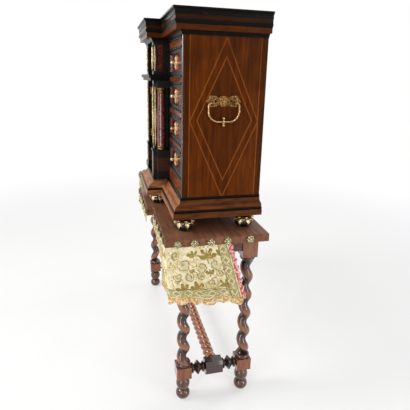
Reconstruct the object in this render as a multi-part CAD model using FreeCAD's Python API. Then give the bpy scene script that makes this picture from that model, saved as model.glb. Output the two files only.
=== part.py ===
import FreeCAD, Part
import math
import os

Vector = FreeCAD.Vector

# Cabinet of drawers on a twist-legged stand, in millimetres.
# Right is +X, the front faces -Y and the floor is Z = 0.

# Case boards
case_width = 950.0
case_depth = 330.0
side_thickness = 20.0
back_thickness = 12.0
back_board_count = 5
board_thickness = 18.0
frame_thickness = 18.0
partition_thickness = 20.0
dust_board_thickness = 10.0

# Wing fronts and their drawers
drawer_count = 4
drawer_opening = 99.0
mid_rail = 33.0
top_rail = 44.0
bottom_rail = 76.0
inner_stile = 50.0
rail_bead = 4.0
drawer_gap = 0.4
drawer_back_gap = 14.0
front_thickness = 18.0
front_border = 14.0
front_bevel = 5.0
front_recess = 5.0
front_arris = 1.5
box_side = 8.0
box_bottom = 6.0
box_headroom = 18.0

# Centre storeys
centre_width = 260.0
centre_projection = 66.0
pier_width = 42.0
recess_depth = 30.0
pedestal_height = 138.0
pedestal_front = 5.0
pedestal_cap = 9.0
pedestal_step = 3.0
storey_height = 310.0
shelf_height = 27.0
shelf_lip = 15.0
shelf_front_reach = 25.0
shelf_side_reach = 47.0
shelf_step = 8.0
attic_rail = 17.0

# Columns beside the centre
column_stand_off = 34.0
column_foot_radius = 18.5
column_head_radius = 16.0
column_swell = 0.8
column_base_height = 19.0
column_base_radius = 20.5
capital_height = 26.0
capital_radius = 20.5
impost_height = 31.0
impost_width = 42.0

# Door and its pin hinges
door_gap = 1.8
door_thickness = 20.0
door_border = 26.0
door_recess = 5.0
hinge_radius = 3.0
hinge_pin = 1.4
hinge_play = 0.08
hinge_float = 0.2
knuckle_length = 12.0
hinge_inset = 50.0
leaf_thickness = 0.8
leaf_width = 17.0

# Base mouldings, from the bottom up
fascia_height = 24.0
fascia_overhang = 40.0
base_bead_height = 9.0
base_bead_overhang = 38.0
ogee_height = 34.0
ogee_foot = 33.0
ogee_head = 7.0
ogee_bulge = 3.0
base_cap_height = 10.0
base_cap_overhang = 6.0
bead_swell = 3.0

# Cornice mouldings, from the bottom up
neck_height = 14.0
neck_foot = 4.0
neck_overhang = 13.0
neck_hollow = 2.0
lower_band_height = 18.0
lower_band_overhang = 30.0
mid_mould_height = 14.0
mid_mould_overhang = 37.0
mid_mould_swell = 2.0
upper_band_height = 17.0
upper_band_overhang = 34.0
crown_height = 25.0
crown_foot = 36.0
crown_overhang = 43.0
crown_fillet = 6.0
crown_hollow = 2.0

# Bun feet with gilt leaf collars
foot_height = 60.0
foot_seat_radius = 20.0
foot_bulge_radius = 36.0
foot_bulge_height = 42.0
foot_neck_radius = 18.0
foot_neck_height = 10.0
foot_cap_radius = 26.0
foot_side_inset = 9.0
foot_front_inset = 12.0
foot_back_inset = 60.0
centre_foot_inset = 42.0
centre_foot_reach = 46.0
leaf_reach = 45.0
leaf_drop = 11.0
leaf_gauge = 3.0
leaf_count = 8
leaf_notch = 9.0

# Gilt cartouches
cartouche_width = 46.0
cartouche_height = 58.0
cartouche_plate = 2.5
cartouche_relief = 2.0
door_cartouche_width = 70.0
door_cartouche_height = 120.0
knob_stem_radius = 3.0
knob_stem_length = 7.0
knob_radius = 6.5
keyhole_radius = 2.2
keyhole_slot = 6.0
strip_width = 26.0
side_strip_width = 10.0
strip_margin = 14.0
mount_gap = 0.2

# Lifting handles on the case sides
handle_height = 380.0
handle_setback = 160.0
plate_width = 138.0
plate_height = 40.0
plate_gauge = 2.5
plate_hole = 4.5
pivot_span = 89.0
pivot_drop = 7.0
pivot_stand_off = 12.0
eye_radius = 6.5
eye_length = 7.0
eye_stalk_radius = 4.0
wire_radius = 3.5
wire_play = 0.08
bail_elbow = 12.0
bail_tail = 1.5
bail_corner = 40.0
bail_depth = 70.0
bead_radius = 6.0
bead_length = 38.0

# Stand
stand_height = 800.0
stand_top_thickness = 31.0
stand_top_nose = 5.0
top_end_margin = 104.0
top_front_margin = 81.0
top_back_margin = 12.0
break_reach = 30.0
break_margin = 65.0
leg_end_inset = 79.0
leg_front_inset = 90.0
leg_back_inset = 58.0
leg_block = 66.0
block_height = 56.0
top_block_height = 91.0
ball_radius = 31.5
ball_height = 47.0
upper_ball_radius = 31.0
upper_ball_height = 60.0
ball_seat_radius = 17.0
ball_neck_radius = 16.0
ball_neck_height = 9.0
ring_height = 16.0
ring_radius = 33.0
ring_seat = 29.5
apron_height = 60.0
apron_thickness = 22.0
apron_setback = 6.0
tenon_length = 22.0
tenon_thickness = 9.0
tenon_shoulder = 9.0
round_tenon_radius = 11.0
joint_gap = 0.2

# Barley twist of the legs and the long stretcher
strand_radius = 21.0
strand_offset = 8.0
twist_pitch = 90.0
stretcher_strands = 2
stretcher_strand_radius = 16.0
stretcher_strand_offset = 10.0
stretcher_pitch = 77.0
stretcher_ring_height = 20.0
stretcher_ring_radius = 29.0
stretcher_ring_seat = 27.0
sections_per_turn = 12
section_points = 16
strand_slices = 40

# Turned end stretchers
stretcher_block_length = 78.0
stretcher_block_width = 64.0
stretcher_block_chamfer = 12.0
end_disc_radius = 30.0
end_ring_radius = 23.0
end_ring_length = 17.0
end_neck_radius = 13.5
end_rim = 4.0

# Nailed cloth valance and its studs
cloth_gauge = 2.0
cloth_gap = 0.4
cloth_top_drop = 25.0
cloth_length = 240.0
cloth_flare = 12.0
fold_count = 3
fold_depth = 5.0
cloth_end_top = 258.0
cloth_end_hem = 334.0
front_cloth_drop = 36.0
corner_cloth_drop = 190.0
sweep_reach = 96.0
sweep_drop = 88.0
stud_radius = 13.0
stud_dome = 6.0
stud_rim = 1.5
stud_boss_radius = 5.0
stud_drop = 15.0
stud_first = 46.0
stud_spacing = 67.0
end_stud_count = 4
back_stud_inset = 82.0

# Shares of the size that each outline follows
cartouche_shares = [
    (0.0, -0.5),
    ((0.20, -0.45), (0.27, -0.30)),
    ((0.31, -0.21), (0.41, -0.17)),
    ((0.50, -0.04), (0.42, 0.10)),
    ((0.33, 0.15), (0.30, 0.25)),
    ((0.24, 0.41), (0.0, 0.5)),
]
plate_shares = [
    (0.0, -0.5),
    ((0.09, -0.42), (0.13, -0.20)),
    ((0.20, -0.46), (0.32, -0.50)),
    ((0.42, -0.44), (0.43, -0.18)),
    ((0.48, -0.13), (0.50, 0.0)),
    ((0.48, 0.13), (0.43, 0.18)),
    ((0.42, 0.44), (0.32, 0.50)),
    ((0.20, 0.46), (0.13, 0.20)),
    ((0.09, 0.42), (0.0, 0.5)),
]
plate_hole_share = 0.225
relief_share = 0.62
keyhole_share = 0.24
bulge_mid_share = 0.46
seat_share = 0.5

cut_reach = 4000.0
full_turn = 360.0
quarter_turn = 90.0

# Places worked out from the sizes
half_case = case_width / 2
half_centre = centre_width / 2
half_opening = half_centre - pier_width
stud_seat = cloth_gauge + 3 * cloth_gap
stud_reach = stud_seat + stud_rim + stud_dome
front_reach = max(centre_projection + crown_overhang, top_front_margin + break_reach + stud_reach)
back_reach = case_depth + top_back_margin
wing_front_y = (front_reach - back_reach) / 2
case_back_y = wing_front_y + case_depth
inner_back_y = case_back_y - back_thickness
frame_back_y = wing_front_y + frame_thickness
centre_front_y = wing_front_y - centre_projection
recess_y = centre_front_y + recess_depth
column_y = wing_front_y - column_stand_off
column_x = half_centre + impost_width / 2

base_z = stand_height + foot_height
base_height = fascia_height + base_bead_height + ogee_height + base_cap_height
wall_z = base_z + base_height
wall_height = bottom_rail + drawer_count * drawer_opening + (drawer_count - 1) * mid_rail + top_rail
cornice_z = wall_z + wall_height
cornice_height = neck_height + lower_band_height + mid_mould_height + upper_band_height + crown_height
case_top_z = cornice_z + cornice_height
floor_z = wall_z + pedestal_height
shelf_z = floor_z + storey_height
attic_z = shelf_z + shelf_height
attic_opening = cornice_z - attic_rail - attic_z

drawer_left_x = half_centre + inner_stile
drawer_right_x = half_case - side_thickness

half_top = half_case + top_end_margin
top_front_y = wing_front_y - top_front_margin
top_back_y = case_back_y + top_back_margin
half_break = half_centre + break_margin
break_front_y = top_front_y - break_reach
cloth_z = stand_height - cloth_top_drop
leg_x = half_top - leg_end_inset
leg_front_y = top_front_y + leg_front_inset
leg_back_y = top_back_y - leg_back_inset
leg_height = stand_height - stand_top_thickness
leg_foot_height = ball_height + upper_ball_height + ball_neck_height
stretcher_z = leg_foot_height + block_height / 2
stretcher_y = (leg_front_y + leg_back_y) / 2
twist_z = leg_foot_height + block_height + ring_height
twist_length = leg_height - top_block_height - ring_height - twist_z


def block(x, y, z):
    low = Vector(x[0], y[0], z[0])
    return Part.makeBox(x[1] - x[0], y[1] - y[0], z[1] - z[0], low)


def mirrored(shape):
    return shape.mirror(Vector(0, 0, 0), Vector(1, 0, 0))


def pair(solids):
    return solids + [mirrored(solid) for solid in solids]


def moved(shape, x, y, z):
    copy = shape.copy()
    copy.translate(Vector(x, y, z))
    return copy


def turned_about(shape, axis, angle):
    copy = shape.copy()
    copy.rotate(Vector(0, 0, 0), axis, angle)
    return copy


def facing_front(shape):
    # Lays a piece that was built along +Z down, so that it points at -Y.
    return turned_about(shape, Vector(1, 0, 0), quarter_turn)


def facing_right(shape):
    # Lays a piece that was built along +Z down, so that it points at +X.
    return turned_about(shape, Vector(0, 1, 0), quarter_turn)


def joined(solids):
    whole = solids[0]
    for solid in solids[1:]:
        whole = whole.fuse(solid)
    return whole.removeSplitter().Solids[0]


def save(name, solids):
    shape = solids[0] if len(solids) == 1 else Part.makeCompound(solids)
    shape.exportStep("parts/" + name + ".step")


def outline(points, place):
    # A closed wire: a plain pair ends a straight stretch, two pairs give an arc's middle and end.
    edges = []
    start = place(*points[0])
    here = start
    for step in points[1:]:
        if isinstance(step[0], tuple):
            there = place(*step[1])
            edges.append(Part.Arc(here, place(*step[0]), there).toShape())
        else:
            there = place(*step)
            edges.append(Part.LineSegment(here, there).toShape())
        here = there
    if here.distanceToPoint(start) > 0:
        edges.append(Part.LineSegment(here, start).toShape())
    return Part.Wire(edges)


def turned(points):
    # A solid of revolution about Z, from (radius, height) points.
    face = Part.Face(outline(points, lambda radius, height: Vector(radius, 0, height)))
    return face.revolve(Vector(0, 0, 0), Vector(0, 0, 1), full_turn)


def dome(radius, base, height):
    # The middle and end of a spherical cap's profile, from its rim up to the axis.
    sphere = (radius ** 2 + height ** 2) / (2 * height)
    half = math.asin(radius / sphere) / 2
    centre = base + height - sphere
    return ((sphere * math.sin(half), centre + sphere * math.cos(half)), (0, base + height))


def mirrored_outline(shares, width, height):
    # A closed outline in X and Y from the shares of its right half, bottom to top.
    def scaled(share):
        return (share[0] * width, share[1] * height)

    def flipped(share):
        return (-share[0] * width, share[1] * height)

    right = [scaled(shares[0])]
    for middle, end in shares[1:]:
        right.append((scaled(middle), scaled(end)))
    left = []
    ends = [shares[0]] + [step[1] for step in shares[1:]]
    for index in range(len(shares) - 1, 0, -1):
        left.append((flipped(shares[index][0]), flipped(ends[index - 1])))
    return outline(right + left, lambda x, y: Vector(x, y, 0))


def plate(wire, gauge):
    return Part.Face(wire).extrude(Vector(0, 0, gauge))


# Mouldings

def strip(low, high, overhang):
    return [(0, low), (overhang, low), (overhang, high), (0, high)]


def curved_strip(low, high, foot, head, swell):
    # A strip whose face bows out by the swell, or in where the swell is below zero.
    middle = ((foot + head) / 2 + swell, (low + high) / 2)
    return [(0, low), (foot, low), (middle, (head, high)), (0, high)]


def ogee_strip(low, high):
    middle = ((ogee_foot + ogee_head) / 2, (low + high) / 2)
    lower = ((ogee_foot + middle[0]) / 2 + ogee_bulge, (low + middle[1]) / 2 + ogee_bulge)
    upper = ((ogee_head + middle[0]) / 2 - ogee_bulge, (high + middle[1]) / 2 - ogee_bulge)
    return [(0, low), (ogee_foot, low), (lower, middle), (upper, (ogee_head, high)), (0, high)]


def crown_strip(low, high):
    step = low + crown_fillet
    shoulder = high - crown_fillet
    hollow = ((crown_foot + crown_overhang) / 2 - crown_hollow, (step + shoulder) / 2 + crown_hollow)
    return [
        (0, low),
        (crown_foot, low),
        (crown_foot, step),
        (hollow, (crown_overhang, shoulder)),
        (crown_overhang, high),
        (0, high),
    ]


def half_space(point, normal):
    half = cut_reach / 2
    box = Part.makeBox(cut_reach, cut_reach, cut_reach, Vector(0, -half, -half))
    angle = math.degrees(math.atan2(normal.y, normal.x))
    box = turned_about(box, Vector(0, 0, 1), angle)
    return moved(box, point.x, point.y, 0)


def moulding_run(profile, start, start_kind, end, end_kind):
    # One length of moulding on the wall from start to end, with its outside on the left of its direction.
    along = (end - start).normalize()
    out = Vector(-along.y, along.x, 0)
    spare = along * (fascia_overhang + crown_overhang)
    wire = outline(profile, lambda overhang, height: start - spare + out * overhang + Vector(0, 0, height))
    run = Part.Face(wire).extrude(end - start + spare * 2)
    turn = {"outer": -1, "square": 0, "inner": 1}
    run = run.cut(half_space(start, out * turn[start_kind] - along))
    run = run.cut(half_space(end, out * turn[end_kind] + along))
    return run.Solids[0]


def moulding_runs(profile):
    back = Vector(half_case, case_back_y, 0)
    corner = Vector(half_case, wing_front_y, 0)
    break_in = Vector(half_centre, wing_front_y, 0)
    break_out = Vector(half_centre, centre_front_y, 0)
    far_out = Vector(-half_centre, centre_front_y, 0)
    side = moulding_run(profile, back, "square", corner, "outer")
    wing = moulding_run(profile, corner, "outer", break_in, "inner")
    turn = moulding_run(profile, break_in, "inner", break_out, "outer")
    centre = moulding_run(profile, break_out, "outer", far_out, "outer")
    return pair([side, wing, turn]) + [centre]


def make_base():
    bead_z = base_z + fascia_height
    ogee_z = bead_z + base_bead_height
    cap_z = ogee_z + ogee_height
    bead_root = base_bead_overhang - bead_swell
    cap_root = base_cap_overhang - bead_swell
    bead = curved_strip(bead_z, ogee_z, bead_root, bead_root, bead_swell)
    cap = curved_strip(cap_z, wall_z, cap_root, cap_root, bead_swell)
    fascia = strip(base_z, bead_z, fascia_overhang)
    ogee = ogee_strip(ogee_z, cap_z)
    save("base_bands", moulding_runs(fascia) + moulding_runs(ogee))
    save("base_mouldings", moulding_runs(bead) + moulding_runs(cap))


def make_cornice():
    lower_z = cornice_z + neck_height
    mid_z = lower_z + lower_band_height
    upper_z = mid_z + mid_mould_height
    crown_z = upper_z + upper_band_height
    neck = curved_strip(cornice_z, lower_z, neck_foot, neck_overhang, -neck_hollow)
    middle = curved_strip(mid_z, upper_z, lower_band_overhang, mid_mould_overhang, mid_mould_swell)
    crown = crown_strip(crown_z, case_top_z)
    lower_band = strip(lower_z, mid_z, lower_band_overhang)
    upper_band = strip(upper_z, crown_z, upper_band_overhang)
    save("cornice_bands", moulding_runs(lower_band) + moulding_runs(upper_band))
    save("cornice_mouldings", moulding_runs(neck) + moulding_runs(middle) + moulding_runs(crown))


# Carcass

def drawer_floor(index):
    # The floor of a wing drawer's opening, counted from the top.
    return wall_z + bottom_rail + (drawer_count - 1 - index) * (drawer_opening + mid_rail)


def make_carcass():
    height = (base_z, case_top_z)
    side = block((half_case - side_thickness, half_case), (wing_front_y, case_back_y), height)
    save("side_panel_right", [side])
    save("side_panel_left", [mirrored(side)])
    clear = half_case - side_thickness
    depth = (frame_back_y, inner_back_y)
    save("carcass_bottom", [block((-clear, clear), depth, (base_z, base_z + board_thickness))])
    save("carcass_top", [block((-clear, clear), depth, (case_top_z - board_thickness, case_top_z))])
    width = 2 * clear / back_board_count
    boards = []
    for index in range(back_board_count):
        left = -clear + index * width
        boards.append(block((left, left + width), (inner_back_y, case_back_y), height))
    save("back_boards", boards)


def make_partitions():
    height = (base_z + board_thickness, case_top_z - board_thickness)
    depth = (frame_back_y, inner_back_y)
    outer = block((drawer_left_x - partition_thickness, drawer_left_x), depth, height)
    lining = block((half_opening, half_opening + partition_thickness), depth, height)
    save("inner_partitions", pair([outer, lining]))


def make_dust_boards():
    boards = []
    for index in range(drawer_count):
        top = drawer_floor(index)
        level = (top - dust_board_thickness, top)
        boards.append(block((drawer_left_x, drawer_right_x), (frame_back_y, inner_back_y), level))
    across = (-half_opening, half_opening)
    floor = block(across, (recess_y, inner_back_y), (floor_z - dust_board_thickness, floor_z))
    ceiling = block(across, (frame_back_y, inner_back_y), (attic_z - dust_board_thickness, attic_z))
    save("dust_boards", pair(boards) + [floor, ceiling])


def wing_rail(low, high):
    # A rail with a half-round bead along its upper and lower edge.
    bead = 2 * rail_bead
    profile = [
        (frame_thickness, low),
        (0, low),
        ((-rail_bead, low + rail_bead), (0, low + bead)),
        (0, high - bead),
        ((-rail_bead, high - rail_bead), (0, high)),
        (frame_thickness, high),
    ]
    wire = outline(profile, lambda depth, height: Vector(drawer_left_x, wing_front_y + depth, height))
    return Part.Face(wire).extrude(Vector(drawer_right_x - drawer_left_x, 0, 0))


def make_wing_frames():
    depth = (wing_front_y, frame_back_y)
    stile = block((half_centre, drawer_left_x), depth, (base_z, case_top_z))
    span = (drawer_left_x, drawer_right_x)
    lowest = drawer_floor(drawer_count - 1)
    pieces = [stile]
    pieces.append(block(span, depth, (base_z, wall_z)))
    pieces.append(wing_rail(wall_z, lowest))
    for index in range(drawer_count - 1):
        top = drawer_floor(index)
        pieces.append(wing_rail(top - mid_rail, top))
    pieces.append(wing_rail(cornice_z - top_rail, cornice_z))
    pieces.append(block(span, depth, (cornice_z, case_top_z)))
    save("wing_frame_right", pieces)
    save("wing_frame_left", [mirrored(piece) for piece in pieces])


# Drawers

def panelled_front(x, y, z, border):
    # A board with a bevelled sinking in its face, inside a plain border.
    board = block(x, y, z)
    face_edges = []
    for edge in board.Edges:
        if edge.BoundBox.YMax <= y[0]:
            face_edges.append(edge)
    board = board.makeChamfer(front_arris, face_edges)

    def ring(inset, depth):
        corners = [
            (x[0] + inset, z[0] + inset),
            (x[1] - inset, z[0] + inset),
            (x[1] - inset, z[1] - inset),
            (x[0] + inset, z[1] - inset),
        ]
        return outline(corners, lambda across, height: Vector(across, y[0] + depth, height))

    sinking = Part.makeLoft([ring(border, 0), ring(border + front_bevel, front_recess)], True, True)
    return board.cut(sinking).Solids[0]


def drawer(x, front_y, floor, opening):
    # A drawer's front, sides, back and bottom, as separate boards.
    low = floor + drawer_gap
    wide = (x[0] + drawer_gap, x[1] - drawer_gap)
    rise = (low, floor + opening - box_headroom)
    run = (front_y + front_thickness, inner_back_y - drawer_back_gap)
    front = panelled_front(wide, (front_y, run[0]), (low, floor + opening - drawer_gap), front_border)
    left = block((wide[0], wide[0] + box_side), run, rise)
    right = block((wide[1] - box_side, wide[1]), run, rise)
    inner = (wide[0] + box_side, wide[1] - box_side)
    back = block(inner, (run[1] - box_side, run[1]), rise)
    bottom = block(inner, (run[0], run[1] - box_side), (low, low + box_bottom))
    return [front, left, right, back, bottom]


def knob():
    top = knob_stem_length + 2 * knob_radius
    waist = knob_stem_length + knob_radius - math.sqrt(knob_radius ** 2 - knob_stem_radius ** 2)
    return turned([
        (0, 0),
        (knob_stem_radius, 0),
        (knob_stem_radius, waist),
        ((knob_radius, knob_stem_length + knob_radius), (0, top)),
    ])


def cartouche(width, height):
    # A scrolled escutcheon with a raised middle, a pull knob and a keyhole, facing -Y.
    body = plate(mirrored_outline(cartouche_shares, width, height), cartouche_plate)
    inner = mirrored_outline(cartouche_shares, width * relief_share, height * relief_share)
    shield = plate(inner, cartouche_relief)
    face = cartouche_plate + cartouche_relief
    solid = joined([body, moved(shield, 0, 0, cartouche_plate), moved(knob(), 0, 0, face)])
    key_y = -height * keyhole_share
    hole = moved(Part.makeCylinder(keyhole_radius, face), 0, key_y, 0)
    slot = block((-keyhole_radius / 2, keyhole_radius / 2), (key_y - keyhole_slot, key_y), (0, face))
    return facing_front(solid.cut(hole.fuse(slot)).Solids[0])


def make_wing_drawers():
    middle_x = (drawer_left_x + drawer_right_x) / 2
    mount = cartouche(cartouche_width, cartouche_height)
    for index in range(drawer_count):
        floor = drawer_floor(index)
        boards = drawer((drawer_left_x, drawer_right_x), wing_front_y, floor, drawer_opening)
        seated = moved(mount, middle_x, wing_front_y + front_recess, floor + drawer_opening / 2)
        number = str(index + 1)
        save("drawer_right_" + number, boards)
        save("drawer_left_" + number, [mirrored(board) for board in boards])
        save("drawer_right_" + number + "_mount", [seated])
        save("drawer_left_" + number + "_mount", [mirrored(seated)])


def make_attic_drawer():
    boards = drawer((-half_opening, half_opening), recess_y, attic_z, attic_opening)
    mount = cartouche(cartouche_width, cartouche_height)
    save("attic_drawer", boards)
    save("attic_drawer_mount", [moved(mount, 0, recess_y + front_recess, attic_z + attic_opening / 2)])


# Centre storeys

def make_centre_frame():
    depth = (centre_front_y, frame_back_y)
    wide = (-half_centre, half_centre)
    across = (-half_opening, half_opening)
    plinth = block(wide, depth, (base_z, wall_z))
    header = block(wide, depth, (cornice_z, case_top_z))
    rail = block(across, (recess_y, frame_back_y), (cornice_z - attic_rail, cornice_z))
    apron_depth = (recess_y, recess_y + frame_thickness)
    apron_rise = (wall_z, floor_z - dust_board_thickness)
    apron = panelled_front(across, apron_depth, apron_rise, front_border)
    save("centre_frame", [plinth, header, rail, apron])


def make_piers():
    side = (half_opening, half_centre)
    depth = (centre_front_y, frame_back_y)
    lower = block(side, depth, (floor_z, shelf_z))
    attic = block(side, depth, (attic_z, cornice_z))
    save("centre_piers", pair([lower, attic]))


def stepped_block(x, y, z, cap, step):
    # A block with a plate at its foot and head that stands out to the front and outer side.
    foot = (z[0], z[0] + cap)
    head = (z[1] - cap, z[1])
    body = block(x, y, z)
    wide = (x[0], x[1] + step)
    deep = (y[0] - step, y[1])
    return joined([body, block(wide, deep, foot), block(wide, deep, head)])


def make_pedestals():
    rise = (wall_z, floor_z)
    side = (half_opening, half_centre)
    inner = block(side, (wing_front_y, frame_back_y), rise)
    pier = block(side, (centre_front_y - pedestal_front, wing_front_y), rise)
    cap_depth = (centre_front_y - pedestal_front - pedestal_step, wing_front_y)
    foot_cap = block(side, cap_depth, (wall_z, wall_z + pedestal_cap))
    head_cap = block(side, cap_depth, (floor_z - pedestal_cap, floor_z))
    under_pier = joined([inner, pier, foot_cap, head_cap])
    half_impost = impost_width / 2
    column_side = (half_centre, half_centre + impost_width)
    column_depth = (column_y - half_impost, wing_front_y)
    under_column = stepped_block(column_side, column_depth, rise, pedestal_cap, pedestal_step)
    over_column = block(column_side, column_depth, (shelf_z - impost_height, shelf_z))
    save("centre_pedestals", pair([under_pier, under_column, over_column]))


def make_entablature():
    half_shelf = half_centre + shelf_side_reach
    front = centre_front_y - shelf_front_reach
    lip_z = attic_z - shelf_lip
    slab = block((-half_shelf, half_shelf), (front, wing_front_y), (lip_z, attic_z))
    inset = half_shelf - shelf_step
    under = block((-inset, inset), (front + shelf_step, wing_front_y), (shelf_z, lip_z))
    tongue = block((-half_opening, half_opening), (wing_front_y, frame_back_y), (shelf_z, attic_z))
    left = block((-half_centre, -half_opening), (wing_front_y, frame_back_y), (shelf_z, attic_z))
    save("centre_entablature", [joined([slab, under, tongue, left, mirrored(left)])])


def make_columns():
    foot = floor_z + column_base_height
    head = shelf_z - impost_height - capital_height
    middle = ((column_foot_radius + column_head_radius) / 2 + column_swell, (foot + head) / 2)
    shaft = turned([(0, foot), (column_foot_radius, foot), (middle, (column_head_radius, head)), (0, head)])
    save("columns", pair([moved(shaft, column_x, column_y, 0)]))
    half = column_base_height / 2
    base = turned([
        (0, 0),
        (column_foot_radius, 0),
        ((column_base_radius, half / 2), (column_foot_radius, half)),
        ((column_base_radius, half + half / 2), (column_foot_radius, column_base_height)),
        (0, column_base_height),
    ])
    collar = capital_height / 4
    capital = turned([
        (0, 0),
        (column_head_radius, 0),
        ((column_head_radius + collar / 2, collar / 2), (column_head_radius, collar)),
        ((column_head_radius, 2 * collar), (capital_radius, 3 * collar)),
        (capital_radius, capital_height),
        (0, capital_height),
    ])
    base = moved(base, column_x, column_y, floor_z)
    capital = moved(capital, column_x, column_y, head)
    save("column_mounts", pair([base, capital]))


def make_pier_mounts():
    # Long gilt strips on the front and outer face of each pier.
    solids = []
    pier_x = half_centre - pier_width / 2
    side_room = column_y - max(column_base_radius, capital_radius) - centre_front_y
    side_y = centre_front_y + side_room / 2
    for low, high in [(floor_z, shelf_z), (attic_z, cornice_z)]:
        tall = high - low - 2 * strip_margin
        middle = (low + high) / 2
        wide = mirrored_outline(cartouche_shares, strip_width, tall)
        front = facing_front(plate(wide, cartouche_plate))
        solids.append(moved(front, pier_x, centre_front_y, middle))
        narrow = mirrored_outline(cartouche_shares, side_strip_width, tall)
        side = turned_about(facing_front(plate(narrow, cartouche_plate)), Vector(0, 0, 1), quarter_turn)
        solids.append(moved(side, half_centre, side_y, middle))
    save("pier_mounts", pair(solids))


# Door

pivot_x = -half_opening + door_gap + hinge_radius
pivot_y = recess_y - hinge_radius - hinge_float


def make_door():
    wide = (-half_opening + door_gap, half_opening - door_gap)
    tall = (floor_z + door_gap, shelf_z - door_gap)
    board = block(wide, (recess_y, recess_y + door_thickness), tall)
    arch = wide[1] - door_border
    spring = tall[1] - door_border - arch
    foot = tall[0] + door_border
    profile = [(-arch, foot), (arch, foot), (arch, spring), ((0, spring + arch), (-arch, spring))]
    niche = Part.Face(outline(profile, lambda across, height: Vector(across, recess_y, height)))
    board = board.cut(niche.extrude(Vector(0, door_recess, 0)))
    save("centre_door", [board.Solids[0]])
    mount = cartouche(door_cartouche_width, door_cartouche_height)
    save("door_mount", [moved(mount, 0, recess_y + door_recess, (tall[0] + tall[1]) / 2)])


def frame_hinge(low):
    # Pin with its two outer knuckles and the plate that holds them to the pier.
    length = 3 * knuckle_length
    pin = Part.makeCylinder(hinge_pin, length, Vector(pivot_x, pivot_y, low))
    solids = [pin]
    for start in (low, low + 2 * knuckle_length):
        level = (start, start + knuckle_length)
        solids.append(Part.makeCylinder(hinge_radius, knuckle_length, Vector(pivot_x, pivot_y, start)))
        solids.append(block((-half_opening, pivot_x), (pivot_y - hinge_pin, pivot_y), level))
    face = (-half_opening, -half_opening + leaf_thickness)
    solids.append(block(face, (pivot_y - leaf_width, pivot_y), (low, low + length)))
    return joined(solids)


def door_hinge(low):
    # Middle knuckle with the leaf that lies on the door.
    level = (low + knuckle_length + hinge_float, low + 2 * knuckle_length - hinge_float)
    length = level[1] - level[0]
    start = Vector(pivot_x, pivot_y, level[0])
    tube = Part.makeCylinder(hinge_radius, length, start)
    bore = Part.makeCylinder(hinge_pin + hinge_play, length, start)
    depth = (recess_y - leaf_thickness, recess_y)
    clear = pivot_x + hinge_radius + hinge_float
    link = block((pivot_x, clear), depth, level)
    leaf = block((clear, clear + leaf_width), depth, (low, low + 3 * knuckle_length))
    return joined([tube, link, leaf]).cut(bore).Solids[0]


def make_hinges():
    half = 3 * knuckle_length / 2
    lows = [floor_z + hinge_inset - half, shelf_z - hinge_inset - half]
    save("door_hinge_pins", [frame_hinge(low) for low in lows])
    save("door_hinge_leaves", [door_hinge(low) for low in lows])


# Bun feet

def foot_places():
    front = Vector(half_case - foot_side_inset, wing_front_y + foot_front_inset, stand_height)
    back = Vector(half_case - foot_side_inset, case_back_y - foot_back_inset, stand_height)
    centre = Vector(half_centre - centre_foot_inset, wing_front_y - centre_foot_reach, stand_height)
    return [front, back, centre]


def make_bun_feet():
    neck_z = foot_bulge_height
    bulge = ((foot_bulge_radius, foot_bulge_height * bulge_mid_share), (foot_neck_radius, neck_z))
    cap_z = neck_z + foot_neck_height
    bun = turned([
        (0, 0),
        (foot_seat_radius, 0),
        bulge,
        (foot_neck_radius, cap_z),
        (foot_cap_radius, cap_z),
        (foot_cap_radius, foot_height),
        (0, foot_height),
    ])
    root = foot_neck_radius + mount_gap
    tip_z = cap_z - leaf_drop - leaf_gauge
    sag = ((root + leaf_reach) / 2, neck_z + leaf_gauge)
    leaves = turned([
        (root, cap_z - 2 * leaf_gauge),
        (sag, (leaf_reach, tip_z)),
        (leaf_reach, tip_z + leaf_gauge),
        ((sag[0], sag[1] + leaf_gauge), (root, cap_z - leaf_gauge + mount_gap)),
    ])
    notches = []
    for index in range(leaf_count):
        angle = 2 * math.pi * index / leaf_count
        centre = Vector(leaf_reach * math.cos(angle), leaf_reach * math.sin(angle), 0)
        notches.append(Part.makeCylinder(leaf_notch, foot_height, centre))
    leaves = leaves.cut(Part.makeCompound(notches)).Solids[0]
    places = foot_places()
    save("bun_feet", pair([moved(bun, place.x, place.y, place.z) for place in places]))
    save("foot_mounts", pair([moved(leaves, place.x, place.y, place.z) for place in places]))


# Side handles

def handle_eye(y):
    stalk = Part.makeCylinder(eye_stalk_radius, pivot_stand_off, Vector(0, y, -pivot_drop), Vector(1, 0, 0))
    start = Vector(pivot_stand_off, y - eye_length / 2, -pivot_drop)
    ring = Part.makeCylinder(eye_radius, eye_length, start, Vector(0, 1, 0))
    return [stalk, ring]


def make_handles():
    # Plate and bail are built round the plate's middle, with X out of the case.
    flat = plate(mirrored_outline(plate_shares, plate_width, plate_height), plate_gauge)
    for sign in (-1, 1):
        centre = Vector(sign * plate_hole_share * plate_width, 0, 0)
        flat = flat.cut(Part.makeCylinder(plate_hole, plate_gauge, centre))
    upright = turned_about(facing_front(flat), Vector(0, 0, 1), quarter_turn)
    half_span = pivot_span / 2
    holder = joined([upright] + handle_eye(-half_span) + handle_eye(half_span))
    start = Vector(pivot_stand_off, -half_span - eye_length, -pivot_drop)
    bore = Part.makeCylinder(wire_radius + wire_play, pivot_span + 2 * eye_length, start, Vector(0, 1, 0))
    holder = holder.cut(bore).Solids[0]
    place = Vector(half_case, wing_front_y + handle_setback, wall_z + handle_height)
    holder = moved(holder, place.x, place.y, place.z)
    save("handle_plates", pair([holder]))
    ring = moved(bail(), place.x + pivot_stand_off, place.y, place.z - pivot_drop)
    save("bail_right", [ring])
    save("bail_left", [mirrored(ring)])


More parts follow.
